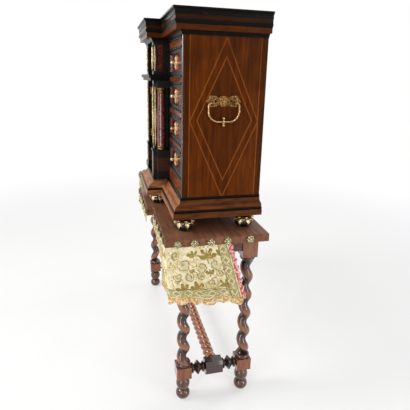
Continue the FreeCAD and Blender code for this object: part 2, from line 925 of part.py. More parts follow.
def bail():
    # A drop handle of round wire about its pivot line, with a turned bead at its lowest point.
    tail = pivot_span / 2 - eye_length / 2 - bail_tail
    elbow = pivot_span / 2 + eye_length / 2 + bail_tail
    side = elbow + bail_elbow
    flat = side - bail_corner
    slant = math.sqrt(seat_share)
    turn = (elbow + bail_elbow * slant, -bail_elbow * (1 - slant))
    low = -bail_depth + bail_corner
    bend = (flat + bail_corner * slant, low - bail_corner * slant)
    route = [
        (-tail, 0),
        (-elbow, 0),
        ((-turn[0], turn[1]), (-side, -bail_elbow)),
        (-side, low),
        ((-bend[0], bend[1]), (-flat, -bail_depth)),
        (flat, -bail_depth),
        (bend, (side, low)),
        (side, -bail_elbow),
        (turn, (elbow, 0)),
        (tail, 0),
    ]
    closed = outline(route, lambda y, z: Vector(0, y, z))
    spine = Part.Wire(closed.OrderedEdges[:-1])
    circle = Part.Wire(Part.makeCircle(wire_radius, Vector(0, -tail, 0), Vector(0, -1, 0)))
    wire = spine.makePipeShell([circle], True, False)
    half = bead_length / 2
    ball_z = half - bead_radius
    waist_z = ball_z - math.sqrt(bead_radius ** 2 - wire_radius ** 2)
    bead = turned([
        (0, -half),
        ((bead_radius, -ball_z), (wire_radius, -waist_z)),
        (wire_radius, waist_z),
        ((bead_radius, ball_z), (0, half)),
    ])
    return joined([wire, moved(bead, 0, 0, -bail_depth)])


# Stand

def make_stand_top():
    # The board breaks forward under the cabinet's centre.
    rise = (leg_height, stand_height)
    wide = block((-half_top, half_top), (top_front_y, top_back_y), rise)
    front = block((-half_break, half_break), (break_front_y, top_front_y), rise)
    board = joined([wide, front])
    edges = []
    for edge in board.Edges:
        box = edge.BoundBox
        if box.ZMin >= stand_height and box.YMin < top_back_y:
            edges.append(edge)
    save("stand_top", [board.makeFillet(stand_top_nose, edges).Solids[0]])


def strand_reach(bearing, radius, offset, pitch, strands):
    # How far round strands that wind about Z reach from the axis, over all their slices at one level.
    reach = 0
    for index in range(strands):
        start = bearing + 2 * math.pi * index / strands
        for step in range(-strand_slices + 1, strand_slices):
            height = radius * step / strand_slices
            turn = 2 * math.pi * height / pitch - start
            inside = radius ** 2 - height ** 2 - (offset * math.sin(turn)) ** 2
            if inside > 0:
                reach = max(reach, offset * math.cos(turn) + math.sqrt(inside))
    return reach


def twist(length, radius, offset, pitch, strands):
    # A barley twist of one or more strands that rises from Z = 0, left-handed: one surface between flat ends.
    around = section_points * strands
    count = math.ceil(length / pitch * sections_per_turn * strands)
    rows = []
    for index in range(around + 1):
        bearing = 2 * math.pi * (index % around) / around
        row = []
        for step in range(count + 1):
            height = length * step / count
            reach = strand_reach(bearing + 2 * math.pi * height / pitch, radius, offset, pitch, strands)
            row.append(Vector(reach * math.cos(bearing), reach * math.sin(bearing), height))
        rows.append(row)
    surface = Part.BSplineSurface()
    surface.interpolate(rows)
    for index in range(1, surface.NbVPoles + 1):
        surface.setPole(surface.NbUPoles, index, surface.getPole(1, index))
    faces = [surface.toShape()]
    for level in surface.bounds()[2:]:
        faces.append(Part.Face(Part.Wire(surface.vIso(level).toShape())))
    shell = Part.makeShell(faces)
    shell.sewShape()
    return Part.makeSolid(shell)


def turned_ring(seat, radius, height):
    return turned([(0, 0), (seat, 0), ((radius, height / 2), (seat, height)), (0, height)])


def leg():
    # Double-ball foot, stretcher block, barley twist between rings and a top block, about its own axis.
    upper = ball_height + upper_ball_height
    foot = turned([
        (0, 0),
        (ball_seat_radius, 0),
        ((ball_radius, ball_height / 2), (ball_seat_radius, ball_height)),
        ((upper_ball_radius, ball_height + upper_ball_height / 2), (ball_neck_radius, upper)),
        (ball_neck_radius, leg_foot_height),
        (0, leg_foot_height),
    ])
    half = leg_block / 2
    square = (-half, half)
    low_block = block(square, square, (leg_foot_height, leg_foot_height + block_height))
    top_block = block(square, square, (leg_height - top_block_height, leg_height))
    ring = turned_ring(ring_seat, ring_radius, ring_height)
    low_ring = moved(ring, 0, 0, leg_foot_height + block_height)
    high_ring = moved(ring, 0, 0, twist_z + twist_length)
    strand = moved(twist(twist_length, strand_radius, strand_offset, twist_pitch, 1), 0, 0, twist_z)
    return joined([foot, low_block, low_ring, strand, high_ring, top_block])


def apron_centre_inset():
    # From the leg's middle out to the middle of the apron rails.
    return leg_block / 2 - apron_setback - apron_thickness / 2


def tenon_level(grow):
    low = leg_height - apron_height + tenon_shoulder
    return (low - grow, leg_height - tenon_shoulder + grow)


def mortises(toward_x, toward_y):
    # Sockets in a leg for the two apron tenons and the stretcher's round tenon, about the leg's axis.
    half = leg_block / 2
    middle = apron_centre_inset()
    thick = tenon_thickness / 2 + joint_gap
    deep = tenon_length + joint_gap
    level = tenon_level(joint_gap)
    along_x = sorted((toward_x * half, toward_x * (half - deep)))
    across_y = sorted((-toward_y * (middle - thick), -toward_y * (middle + thick)))
    along_y = sorted((toward_y * half, toward_y * (half - deep)))
    across_x = sorted((-toward_x * (middle - thick), -toward_x * (middle + thick)))
    start = Vector(0, toward_y * (half - deep), stretcher_z)
    socket = Part.makeCylinder(round_tenon_radius + joint_gap, deep, start, Vector(0, toward_y, 0))
    return [block(along_x, across_y, level), block(across_x, along_y, level), socket]


def make_legs():
    # The strands of the back legs start half a turn on from those of the front legs.
    front = leg()
    back = turned_about(front, Vector(0, 0, 1), 2 * quarter_turn)
    for name, plain, y, toward_y in (("front", front, leg_front_y, 1), ("back", back, leg_back_y, -1)):
        socketed = plain.cut(Part.makeCompound(mortises(-1, toward_y))).Solids[0]
        right = moved(socketed, leg_x, y, 0)
        save("leg_" + name + "_right", [right])
        save("leg_" + name + "_left", [mirrored(right)])


def apron_rail(length):
    # A rail along X about its own middle, with a tenon at each end.
    half = length / 2
    thick = apron_thickness / 2
    rail = block((-half, half), (-thick, thick), (leg_height - apron_height, leg_height))
    tenon = tenon_thickness / 2
    reach = half + tenon_length
    return joined([rail, block((-reach, reach), (-tenon, tenon), tenon_level(0))])


def make_stand_rails():
    inset = apron_centre_inset()
    long_rail = apron_rail(2 * leg_x - leg_block)
    short_rail = apron_rail(leg_back_y - leg_front_y - leg_block)
    short_rail = turned_about(short_rail, Vector(0, 0, 1), quarter_turn)
    front = moved(long_rail, 0, leg_front_y - inset, 0)
    back = moved(long_rail, 0, leg_back_y + inset, 0)
    end = moved(short_rail, leg_x + inset, stretcher_y, 0)
    save("stand_rails", [front, back] + pair([end]))


def disc_profile(low, high, radius):
    # A thin-rimmed disc that swells from the bar's neck at low and returns to it at high.
    middle = (low + high) / 2
    half_rim = end_rim / 2
    return [(end_neck_radius, low), (radius, middle - half_rim), (radius, middle + half_rim)]


def stretcher_block():
    # The middle block, with its four long edges cut away.
    half = stretcher_block_width / 2
    rise = (-stretcher_block_length / 2, stretcher_block_length / 2)
    square = block((-half, half), (-half, half), rise)
    flat = (2 * half - stretcher_block_chamfer) / math.sqrt(2)
    edge_cut = block((-flat, flat), (-flat, flat), rise)
    return square.common(turned_about(edge_cut, Vector(0, 0, 1), quarter_turn / 2)).Solids[0]


def end_stretcher():
    # Turned bar along Z about its middle block, with round tenons at its ends.
    half = (leg_back_y - leg_front_y - leg_block) / 2
    half_block = stretcher_block_length / 2
    disc_low = half_block + end_ring_length
    disc_high = half - end_ring_length
    profile = [(0, half_block)]
    profile += disc_profile(half_block, disc_low, end_ring_radius)
    profile += disc_profile(disc_low, disc_high, end_disc_radius)
    profile += disc_profile(disc_high, half, end_ring_radius)
    profile += [
        (end_neck_radius, half),
        (round_tenon_radius, half),
        (round_tenon_radius, half + tenon_length),
        (0, half + tenon_length),
    ]
    turning = turned(profile)
    far = turned_about(turning, Vector(1, 0, 0), 2 * quarter_turn)
    return joined([stretcher_block(), turning, far])


def make_stretchers():
    bar = moved(facing_front(end_stretcher()), leg_x, stretcher_y, stretcher_z)
    inner_face = leg_x - stretcher_block_width / 2
    deep = tenon_length + joint_gap
    start = Vector(inner_face, stretcher_y, stretcher_z)
    socket = Part.makeCylinder(round_tenon_radius + joint_gap, deep, start, Vector(1, 0, 0))
    bar = bar.cut(socket).Solids[0]
    save("end_stretcher_right", [bar])
    save("end_stretcher_left", [mirrored(bar)])
    save("long_stretcher", [moved(long_stretcher(inner_face), 0, stretcher_y, stretcher_z)])


def long_stretcher(half):
    # Two barley twists of opposite hands between turned rings, along X, with round tenons at the ends.
    ring = turned_ring(stretcher_ring_seat, stretcher_ring_radius, stretcher_ring_height)
    strand_low = stretcher_ring_height / 2
    strand_length = half - stretcher_ring_height - strand_low
    reach = (stretcher_strand_radius, stretcher_strand_offset)
    strand = twist(strand_length, *reach, stretcher_pitch, stretcher_strands)
    tenon = Part.makeCylinder(round_tenon_radius, tenon_length)
    arm = facing_right(joined([
        moved(strand, 0, 0, strand_low),
        moved(ring, 0, 0, half - stretcher_ring_height),
        moved(tenon, 0, 0, half),
    ]))
    middle = facing_right(moved(ring, 0, 0, -strand_low))
    return joined([arm, middle, mirrored(arm)])


# Valance

def wavy_line(start, end, out, depth, height):
    # An odd run of shallow arcs from start to end that swing out, in, out and so on.
    count = 2 * fold_count + 1
    points = [(start.x, start.y)]
    for index in range(count):
        here = start + (end - start) * (index / count)
        there = start + (end - start) * ((index + 1) / count)
        swing = depth if index % 2 == 0 else -depth
        middle = (here + there) / 2 + out * swing
        points.append(((middle.x, middle.y), (there.x, there.y)))
    closed = outline(points, lambda x, y: Vector(x, y, height))
    return closed.OrderedEdges[:count]


def cloth_edge(start, end, out, depth, height):
    # The closed outline of the cloth's thickness along one level line.
    back = out * cloth_gauge
    outer = wavy_line(start + back, end + back, out, depth, height)
    inner = wavy_line(end, start, out, depth, height)
    first = Part.LineSegment(outer[-1].lastVertex().Point, inner[0].firstVertex().Point).toShape()
    last = Part.LineSegment(inner[-1].lastVertex().Point, outer[0].firstVertex().Point).toShape()
    return Part.Wire(outer + [first] + inner + [last])


def end_cloth():
    # The end panel hangs flat from its nailed edge and falls into folds at its wider hem.
    out = Vector(1, 0, 0)
    top_x = half_top + cloth_gap
    hem_x = half_top + cloth_flare
    front = top_front_y + cloth_gap
    top = (Vector(top_x, front, 0), Vector(top_x, top_front_y + cloth_end_top, 0))
    hem = (Vector(hem_x, front, 0), Vector(hem_x, top_front_y + cloth_end_hem, 0))
    upper = cloth_edge(top[0], top[1], out, cloth_gap / 2, cloth_z)
    lower = cloth_edge(hem[0], hem[1], out, fold_depth, cloth_z - cloth_length)
    return Part.makeLoft([upper, lower], True, True)


def corner_cloth():
    # The front edge of the cloth beside a corner, where its hem sweeps down.
    corner = half_top + cloth_gap + cloth_gauge
    inner = half_break + cloth_gap
    profile = [
        (inner, cloth_z),
        (corner, cloth_z),
        (corner, cloth_z - corner_cloth_drop),
        ((corner - sweep_reach, cloth_z - sweep_drop), (inner, cloth_z - front_cloth_drop)),
    ]
    wire = outline(profile, lambda across, height: Vector(across, top_front_y - cloth_gap, height))
    return Part.Face(wire).extrude(Vector(0, -cloth_gauge, 0))


def make_valance():
    front = break_front_y - cloth_gap
    drop = (cloth_z - front_cloth_drop, cloth_z)
    middle = block((-half_break, half_break), (front - cloth_gauge, front), drop)
    save("valance_cloth", [middle] + pair([end_cloth(), corner_cloth()]))


def stud():
    # A domed nail head on the boss that holds it to the table's edge, clear of the cloth.
    rim = stud_seat + stud_rim
    return turned([
        (0, 0),
        (stud_boss_radius, 0),
        (stud_boss_radius, stud_seat),
        (stud_radius, stud_seat),
        (stud_radius, rim),
        dome(stud_radius, rim, stud_dome),
    ])


def make_studs():
    level = stand_height - stud_drop
    end_head = facing_right(stud())
    front_head = facing_front(stud())
    studs = [moved(end_head, half_top, top_back_y - back_stud_inset, level)]
    for index in range(end_stud_count):
        studs.append(moved(end_head, half_top, top_front_y + stud_first + index * stud_spacing, level))
    for index in range(round((half_top - half_break - stud_first) / stud_spacing)):
        studs.append(moved(front_head, half_top - stud_first - index * stud_spacing, top_front_y, level))
    for index in range(round(half_break / stud_spacing)):
        studs.append(moved(front_head, (index + seat_share) * stud_spacing, break_front_y, level))
    save("rosette_studs", pair(studs))


os.makedirs("parts", exist_ok=True)
make_base()
make_cornice()
make_carcass()
make_partitions()
make_dust_boards()
make_wing_frames()
make_wing_drawers()
make_attic_drawer()
make_centre_frame()
make_piers()
make_pedestals()
make_entablature()
make_columns()
make_pier_mounts()
make_door()
make_hinges()
make_bun_feet()
make_handles()
make_stand_top()
make_legs()
make_stand_rails()
make_stretchers()
make_valance()
make_studs()
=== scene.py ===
import math
import bpy
from mathutils import Matrix, Vector


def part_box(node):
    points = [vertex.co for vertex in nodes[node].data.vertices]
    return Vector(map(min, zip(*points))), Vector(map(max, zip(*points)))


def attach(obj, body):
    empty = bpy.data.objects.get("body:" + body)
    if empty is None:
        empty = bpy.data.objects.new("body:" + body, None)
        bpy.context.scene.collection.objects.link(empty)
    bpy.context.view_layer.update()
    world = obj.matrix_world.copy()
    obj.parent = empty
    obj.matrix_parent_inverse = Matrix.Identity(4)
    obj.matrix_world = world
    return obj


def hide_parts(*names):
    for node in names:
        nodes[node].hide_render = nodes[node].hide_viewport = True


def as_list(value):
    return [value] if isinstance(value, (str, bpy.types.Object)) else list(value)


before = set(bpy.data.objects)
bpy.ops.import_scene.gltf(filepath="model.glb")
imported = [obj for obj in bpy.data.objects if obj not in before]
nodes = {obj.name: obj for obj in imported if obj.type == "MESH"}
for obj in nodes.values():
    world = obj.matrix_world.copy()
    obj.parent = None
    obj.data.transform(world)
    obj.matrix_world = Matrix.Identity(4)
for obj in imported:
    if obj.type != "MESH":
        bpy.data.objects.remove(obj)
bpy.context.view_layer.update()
print("frame loaded,", len(nodes), "CAD nodes")


# helpers that select, shape and finish pieces

def clearSelection():
    bpy.ops.object.select_all(action="DESELECT")


def pick(*pieces):
    clearSelection()
    for piece in pieces:
        piece.select_set(True)
    bpy.context.view_layer.objects.active = pieces[0]


def newest(name):
    piece = bpy.context.active_object
    piece.name = name
    piece.data.name = name
    return piece


def settle(piece):
    pick(piece)
    bpy.ops.object.transform_apply(location=True, rotation=True, scale=True)
    return piece


def applyAll(piece):
    pick(piece)
    for modifier in list(piece.modifiers):
        bpy.ops.object.modifier_apply(modifier=modifier.name)
    return piece


def bevelEdges(piece, width=0.0006):
    edge = piece.modifiers.new("edge", "BEVEL")
    edge.width = width
    edge.segments = 2
    return applyAll(piece)


def makeBall(name, segments, rings, radius, stretch, place, lean=0):
    # a ball stretched along each axis, leaned about Y in degrees, then moved
    clearSelection()
    bpy.ops.mesh.primitive_uv_sphere_add(segments=segments, ring_count=rings, radius=radius)
    ball = newest(name)
    ball.scale = stretch
    ball.rotation_euler = (0, math.radians(lean), 0)
    ball.location = place
    return settle(ball)


def joinAll(pieces, name):
    pick(*pieces)
    if len(pieces) > 1:
        bpy.ops.object.join()
    return newest(name)


def copyTo(piece, matrix, name):
    # a copy with a mesh of its own, moved in its mesh
    mesh = piece.data.copy()
    mesh.transform(matrix)
    made = bpy.data.objects.new(name, mesh)
    bpy.context.scene.collection.objects.link(made)
    return made


def smooth(piece, degrees):
    pick(piece)
    bpy.ops.object.shade_smooth_by_angle(angle=math.radians(degrees))
    return piece


def cleanFaces(piece, flip=False, weld=0.00001):
    # weld the points and turn every face outward, or turn every face round
    pick(piece)
    bpy.ops.object.mode_set(mode="EDIT")
    bpy.ops.mesh.select_all(action="SELECT")
    if flip:
        bpy.ops.mesh.flip_normals()
    else:
        bpy.ops.mesh.remove_doubles(threshold=weld)
        bpy.ops.mesh.normals_make_consistent(inside=False)
    bpy.ops.object.mode_set(mode="OBJECT")
    return piece


def finishPiece(piece, material, body="cabinet"):
    piece.data.materials.clear()
    piece.data.materials.append(material)
    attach(piece, body)


# shader sockets as values in expressions

def srgb(red, green, blue):
    def plain(level):
        level = level / 255
        return level / 12.92 if level <= 0.04045 else ((level + 0.055) / 1.055) ** 2.4
    return (plain(red), plain(green), plain(blue), 1.0)


def mathMethod(operation, reflected=False):
    def method(self, other=0.0):
        pair = (other, self) if reflected else (self, other)
        return self.maths(operation, *pair)
    return method


class Wire:
    def __init__(self, tree, socket=None):
        self.tree = tree
        self.socket = socket

    def node(self, kind, settings, values, out=0):
        made = self.tree.nodes.new("ShaderNode" + kind)
        for name, value in settings.items():
            setattr(made, name, value)
        for key, value in values.items():
            if isinstance(value, Wire):
                self.tree.links.new(value.socket, made.inputs[key])
            else:
                made.inputs[key].default_value = value
        return Wire(self.tree, made.outputs[out])

    def maths(self, operation, first, second=0.0):
        return self.node("Math", {"operation": operation}, {0: first, 1: second})

    __add__ = __radd__ = mathMethod("ADD")
    __sub__ = mathMethod("SUBTRACT")
    __rsub__ = mathMethod("SUBTRACT", True)
    __mul__ = __rmul__ = mathMethod("MULTIPLY")
    __truediv__ = mathMethod("DIVIDE")
    __rtruediv__ = mathMethod("DIVIDE", True)
    __mod__ = mathMethod("FLOORED_MODULO")
    __rmod__ = mathMethod("FLOORED_MODULO", True)
    __abs__ = mathMethod("ABSOLUTE")
    __gt__ = mathMethod("GREATER_THAN")
    __lt__ = mathMethod("LESS_THAN")
    least = mathMethod("MINIMUM")
    most = mathMethod("MAXIMUM")
    sine = mathMethod("SINE")

    def waves(self, length):
        return (self * (2 * math.pi / length)).sine()

    def reach(self, other):
        # length of the two coordinates together
        return self.maths("SQRT", self * self + other * other)

    def step(self, low, high):
        # 0 below low, 1 above high, soft between; low above high turns it round
        if low > high:
            return 1 - self.step(high, low)
        return self.node("MapRange", {"interpolation_type": "SMOOTHSTEP"},
                         {"Value": self, "From Min": low, "From Max": high})

    def within(self, low, high, soft):
        return self.step(low - soft, low + soft) * self.step(high + soft, high - soft)

    def line(self, place, half, soft):
        return abs(self - place).step(half + soft, half)

    def parts(self, axes="XYZ"):
        return [self.node("SeparateXYZ", {}, {0: self}, axis) for axis in axes]

    def stretched(self, x, y, z):
        return self.node("VectorMath", {"operation": "MULTIPLY"}, {0: self, 1: (x, y, z)})

    def noise(self, scale, detail=3.0, roughness=0.5, distortion=0.0):
        return self.node("TexNoise", {}, {"Vector": self, "Scale": scale, "Detail": detail,
                                          "Roughness": roughness, "Distortion": distortion})

    def tint(self, below, above):
        return self.node("Mix", {"data_type": "RGBA"}, {0: self, 6: below, 7: above}, 2)

    def grade(self, tones):
        # from the dark to the light of a pair of tones
        light, dark = tones
        return self.tint(dark, light)


def startFinish(name):
    material = bpy.data.materials.new(name)
    material.use_nodes = True
    where = Wire(material.node_tree).node("TexCoord", {}, {}, "Object")
    return material, where


def closeFinish(material, colour, roughness, specular=0.5, relief=None, more=None):
    # relief is a height, its depth and its strength, more holds further sockets
    tree = material.node_tree
    shader = tree.nodes["Principled BSDF"]
    looks = {"Base Color": colour, "Roughness": roughness, "Specular IOR Level": specular}
    looks.update(more or {})
    if relief:
        height, depth, strength = relief
        bump = {"Height": height, "Strength": strength, "Distance": depth}
        looks["Normal"] = height.node("Bump", {}, bump)
    for name, value in looks.items():
        if isinstance(value, Wire):
            tree.links.new(value.socket, shader.inputs[name])
        else:
            shader.inputs[name].default_value = value
    return material


def dress(material, *names):
    for name in names:
        mesh = nodes[name].data
        mesh.materials.clear()
        mesh.materials.append(material)


def grainAlong(where, along, fine=1.0):
    # broad figure and fine pores of a wood whose fibres run along one axis
    stretch = {"x": (5, 70, 70), "y": (70, 5, 70), "z": (70, 70, 5)}[along]
    figure = where.stretched(*stretch).noise(fine, 5.0, 0.6, 0.9)
    pores = where.stretched(*(6 * share for share in stretch)).noise(fine, 2.0, 0.5)
    return figure, pores


# camera, where the photograph was taken from

cameraLook = {
    "place": (1.9197, -0.38965, 1.4028),
    "yaw": 0.2453,
    "pitch": 0.2618,
    "roll": 0.023,
    "sensor": 36,
    "lens": 33.893,
    "shift": (0.00756, -0.0583),
}


def makeCamera(look):
    clearSelection()
    bpy.ops.object.camera_add()
    camera = newest("camera")
    yaw, pitch, roll = look["yaw"], look["pitch"], look["roll"]
    level = math.cos(pitch)
    ahead = Vector((-math.cos(yaw) * level, math.sin(yaw) * level, -math.sin(pitch)))
    right = ahead.cross(Vector((0, 0, 1))).normalized()
    up = right.cross(ahead)
    side = math.cos(roll) * right + math.sin(roll) * up
    head = math.cos(roll) * up - math.sin(roll) * right
    turn = Matrix((side, head, -ahead)).transposed().to_4x4()
    camera.matrix_world = Matrix.Translation(look["place"]) @ turn
    camera.data.sensor_width = look["sensor"]
    camera.data.lens = look["lens"]
    camera.data.shift_x, camera.data.shift_y = look["shift"]
    bpy.context.scene.camera = camera


makeCamera(cameraLook)
bpy.context.scene.view_settings.view_transform = "Standard"


# studio: pale floor, soft lamps, white surroundings

studioLook = {
    "ambient": 0.33,
    "floor": srgb(240, 240, 239),
    "dust": srgb(234, 234, 233),
    "floorSize": 60,
    "glow": 0.5,
    "fade": (1.3, 4.0),
    # place, aim, width and height, watts
    "lamps": [
        ((1.75, -2.20, 2.40), (0.2, 0.0, 0.8), (0.8, 0.8), 11),
        ((2.70, 1.30, 2.40), (0.3, 0.0, 0.7), (0.8, 0.8), 10),
        ((0.10, -2.60, 2.60), (0.1, -0.1, 0.9), (1.0, 1.0), 66),
        ((-0.60, 2.60, 2.40), (0.0, 0.1, 0.8), (1.4, 1.4), 30),
        ((-2.80, 0.20, 2.40), (-0.3, 0.0, 0.8), (1.4, 1.4), 30),
        ((2.10, -1.60, 0.75), (0.5, 0.0, 0.5), (0.14, 1.3), 14),
        ((2.15, 1.60, 0.75), (0.5, 0.0, 0.5), (0.14, 1.3), 14),
    ],
}


def seenRay(tree):
    # 1 for a ray from the camera, a reflection or a clear surface
    start = Wire(tree)
    seen = start.node("LightPath", {}, {}, "Is Camera Ray")
    for name in ("Is Glossy Ray", "Is Transmission Ray"):
        seen = seen.most(start.node("LightPath", {}, {}, name))
    return seen


def makeFloor(look):
    # pale near the object, white far off where it meets the surroundings
    clearSelection()
    bpy.ops.mesh.primitive_plane_add(size=look["floorSize"], location=(0, 0, 0))
    floor = newest("floor")
    material, where = startFinish("paleFloor")
    tree = material.node_tree
    closeFinish(material, where.noise(3.0, 2.0).tint(look["floor"], look["dust"]), 0.75, specular=0.2)
    x, y = where.parts("XY")
    far = (x.reach(y).step(*look["fade"]) * (1 - look["glow"]) + look["glow"]) * seenRay(tree)
    near = Wire(tree, tree.nodes["Principled BSDF"].outputs[0])
    white = where.node("Emission", {}, {"Color": (1, 1, 1, 1), "Strength": 1.0})
    blend = where.node("MixShader", {}, {0: far, 1: near, 2: white})
    tree.links.new(blend.socket, tree.nodes["Material Output"].inputs["Surface"])
    floor.data.materials.append(material)


def makeStudio(look):
    makeFloor(look)
    for place, aim, size, power in look["lamps"]:
        clearSelection()
        bpy.ops.object.light_add(type="AREA", location=place)
        lamp = newest("lamp")
        lamp.data.shape = "RECTANGLE"
        lamp.data.size, lamp.data.size_y = size
        lamp.data.energy = power
        lamp.rotation_euler = (Vector(aim) - Vector(place)).to_track_quat("-Z", "Y").to_euler()
    world = bpy.data.worlds.new("studio")
    bpy.context.scene.world = world
    world.use_nodes = True
    tree = world.node_tree
    level = look["ambient"]
    shade = seenRay(tree).tint((level, level, level, 1), (1, 1, 1, 1))
    tree.links.new(shade.socket, tree.nodes["Background"].inputs["Color"])


makeStudio(studioLook)
print("camera and studio made")


# woods of the stand, each as a light and a dark tone

standLook = {
    "leg": (srgb(106, 50, 24), srgb(52, 22, 10)),
    "block": (srgb(150, 84, 44), srgb(104, 54, 27)),
    "ball": (srgb(104, 66, 44), srgb(64, 36, 22)),
    "bar": (srgb(162, 90, 46), srgb(108, 54, 24)),
    "turned": (srgb(66, 44, 35), srgb(36, 22, 17)),
    "rail": (srgb(118, 64, 40), srgb(72, 36, 22)),
    "ring": srgb(40, 25, 19),
    # crest: a painted highlight mixed with rubbed wear; groove: painted shade in the grooves
    "crest": srgb(176, 112, 72),
    "groove": srgb(20, 9, 6),
    "rings": [(0.172, 0.188), (0.662, 0.678)],
    "blockLow": 0.116,
    "blockHigh": 0.172,
    "legX": 0.500,
    "legFront": -0.10115,
    "legBack": 0.17385,
    "legCrest": 0.029,
    "stretcher": (0.03635, 0.144),
    "stretcherCrest": 0.026,
}


def walnutFinish(name, along, tone, look, axisDistance=None, crest=None):
    # polished walnut, with painted shade where the turning runs deep and a painted highlight, partly rubbed
    # wear, on its crests
    material, where = startFinish(name)
    figure, pores = grainAlong(where, along)
    light = figure.step(0.30, 0.70)
    colour = light.grade(look[tone])
    worn = where.noise(26.0, 3.0)
    if axisDistance:
        reach = axisDistance(where, look)
        # painted highlight on the crests, broken up by rubbed wear, then painted shade in the grooves
        wearAndHighlight = reach.step(crest * 0.86, crest) * (worn * 0.8 + 0.1)
        colour = wearAndHighlight.tint(colour, look["crest"])
        colour = (reach.step(crest * 0.84, crest * 0.45) * 0.85).tint(colour, look["groove"])
    if tone == "leg":
        z = where.parts("Z")[0]
        low, high = look["blockLow"], look["blockHigh"]
        colour = z.within(low, high, 0.001).tint(colour, light.grade(look["block"]))
        colour = z.step(low, low - 0.002).tint(colour, light.grade(look["ball"]))
        for low, high in look["rings"]:
            colour = (z.within(low, high, 0.001) * 0.85).tint(colour, look["ring"])
    colour = (pores.step(0.52, 0.66) * 0.55).tint(colour, look[tone][1])
    return closeFinish(
        material, colour, worn * 0.16 + 0.12, specular=0.3, relief=(pores, 0.0002, 0.05),
        more={"Coat Weight": worn.step(0.1, 0.4) * 0.8, "Coat Roughness": 0.04})


def fromLegAxis(where, look):
    x, y = where.parts("XY")
    side = abs(x) - look["legX"]
    return side.reach(abs(y - look["legFront"]).least(abs(y - look["legBack"])))


def fromStretcherAxis(where, look):
    y, z = where.parts("YZ")
    return (y - look["stretcher"][0]).reach(z - look["stretcher"][1])


def dressStand(look):
    legs = walnutFinish("legWalnut", "z", "leg", look, fromLegAxis, look["legCrest"])
    dress(legs, "leg_front_right", "leg_front_left", "leg_back_right", "leg_back_left")
    bar = walnutFinish("longStretcherWalnut", "x", "bar", look, fromStretcherAxis, look["stretcherCrest"])
    dress(bar, "long_stretcher")
    ends = walnutFinish("endStretcherWalnut", "y", "turned", look)
    dress(ends, "end_stretcher_right", "end_stretcher_left")
    dress(walnutFinish("railWalnut", "x", "rail", look), "stand_rails")


dressStand(standLook)

boardLook = {"tones": (srgb(134, 89, 64), srgb(92, 56, 38)), "worn": srgb(154, 109, 84)}


def boardFinish(look):
    material, where = startFinish("tableBoard")
    figure, pores = grainAlong(where, "x", 0.8)
    patches = where.noise(7.0, 4.0, 0.6)
    colour = figure.step(0.3, 0.7).grade(look["tones"])
    colour = (patches.step(0.5, 0.75) * 0.5).tint(colour, look["worn"])
    colour = (pores.step(0.55, 0.7) * 0.4).tint(colour, look["tones"][1])
    return closeFinish(
        material, colour, patches * 0.25 + 0.35, specular=0.18, relief=(pores, 0.0004, 0.25))


dress(boardFinish(boardLook), "stand_top")
print("stand dressed")


# veneers, ebony and shell of the case

caseLook = {
    "front": -0.11015,
    "lineHalf": 0.0019,
    "border": (0.027, 0.304),
    # middle across, level, half width, half height
    "outer": (0.1665, 1.240, 0.1375, 0.307),
    "inner": (0.1675, 1.243, 0.1105, 0.237),
    "skin": (0.4735, 0.4745),
    "field": (srgb(90, 41, 5), srgb(64, 27, 3)),
    "corner": (srgb(105, 49, 7), srgb(75, 33, 4)),
    "band": (srgb(100, 46, 6), srgb(68, 29, 3)),
    "edge": (srgb(84, 38, 5), srgb(58, 25, 3)),
    "smoke": srgb(44, 18, 3),
    "stringing": srgb(146, 80, 28),
}


def lozenge(across, up, spot):
    # 1 on the lozenge's outline, and how fast it grows away from it
    middle, level, half, tall = spot
    share = abs(across - middle) / half + abs(up - level) / tall
    return share, math.hypot(half, tall) / (half * tall)


def sideFinish(look):
    # smoky veneer with two lozenges and two borders of stringing
    material, where = startFinish("sideVeneer")
    figure, pores = grainAlong(where, "z", 0.9)
    x, y, z = where.parts()
    across = y - look["front"]
    light = figure.step(0.3, 0.7)
    colour = light.grade(look["corner"])
    strings = []
    for shape, tone in (("outer", "band"), ("inner", "field")):
        share, slope = lozenge(across, z, look[shape])
        colour = share.step(1.004, 0.996).tint(colour, light.grade(look[tone]))
        strings.append(share.line(1.0, look["lineHalf"] * slope, 0.006))
    inside = across.within(*look["border"], 0.0004)
    colour = inside.tint(light.grade(look["edge"]), colour)
    lines = strings[0].most(strings[1]) * inside
    for place in look["border"]:
        lines = lines.most(across.line(place, look["lineHalf"], 0.0006))
    patina = where.noise(40.0, 3.0)
    colour = (lines * (patina * 0.5 + 0.45)).tint(colour, look["stringing"])
    colour = (pores.step(0.54, 0.68) * 0.35).tint(colour, look["edge"][1])
    colour = (where.noise(3.5, 3.0, 0.55).step(0.44, 0.66) * 0.7).tint(colour, look["smoke"])
    colour = abs(x).step(*look["skin"]).tint(look["edge"][0], colour)
    return closeFinish(
        material, colour, where.noise(9.0, 3.0) * 0.2 + 0.26, specular=0.05, relief=(pores, 0.0003, 0.2))


dress(sideFinish(caseLook), "side_panel_right", "side_panel_left")

bandLook = {
    "orange": (srgb(94, 43, 13), srgb(60, 26, 7)),
    # upper and orange: cornice bands darkened as painted shade, the upper band most
    "upper": (srgb(58, 29, 12), srgb(36, 18, 7)),
    "brown": (srgb(108, 60, 30), srgb(68, 36, 17)),
    # frontLit: painted light on the front faces of the base
    "frontLit": (srgb(172, 116, 78), srgb(120, 74, 46)),
    "waist": 1.2,
    "split": 1.59,
    "corner": (0.475, -0.11015),
}


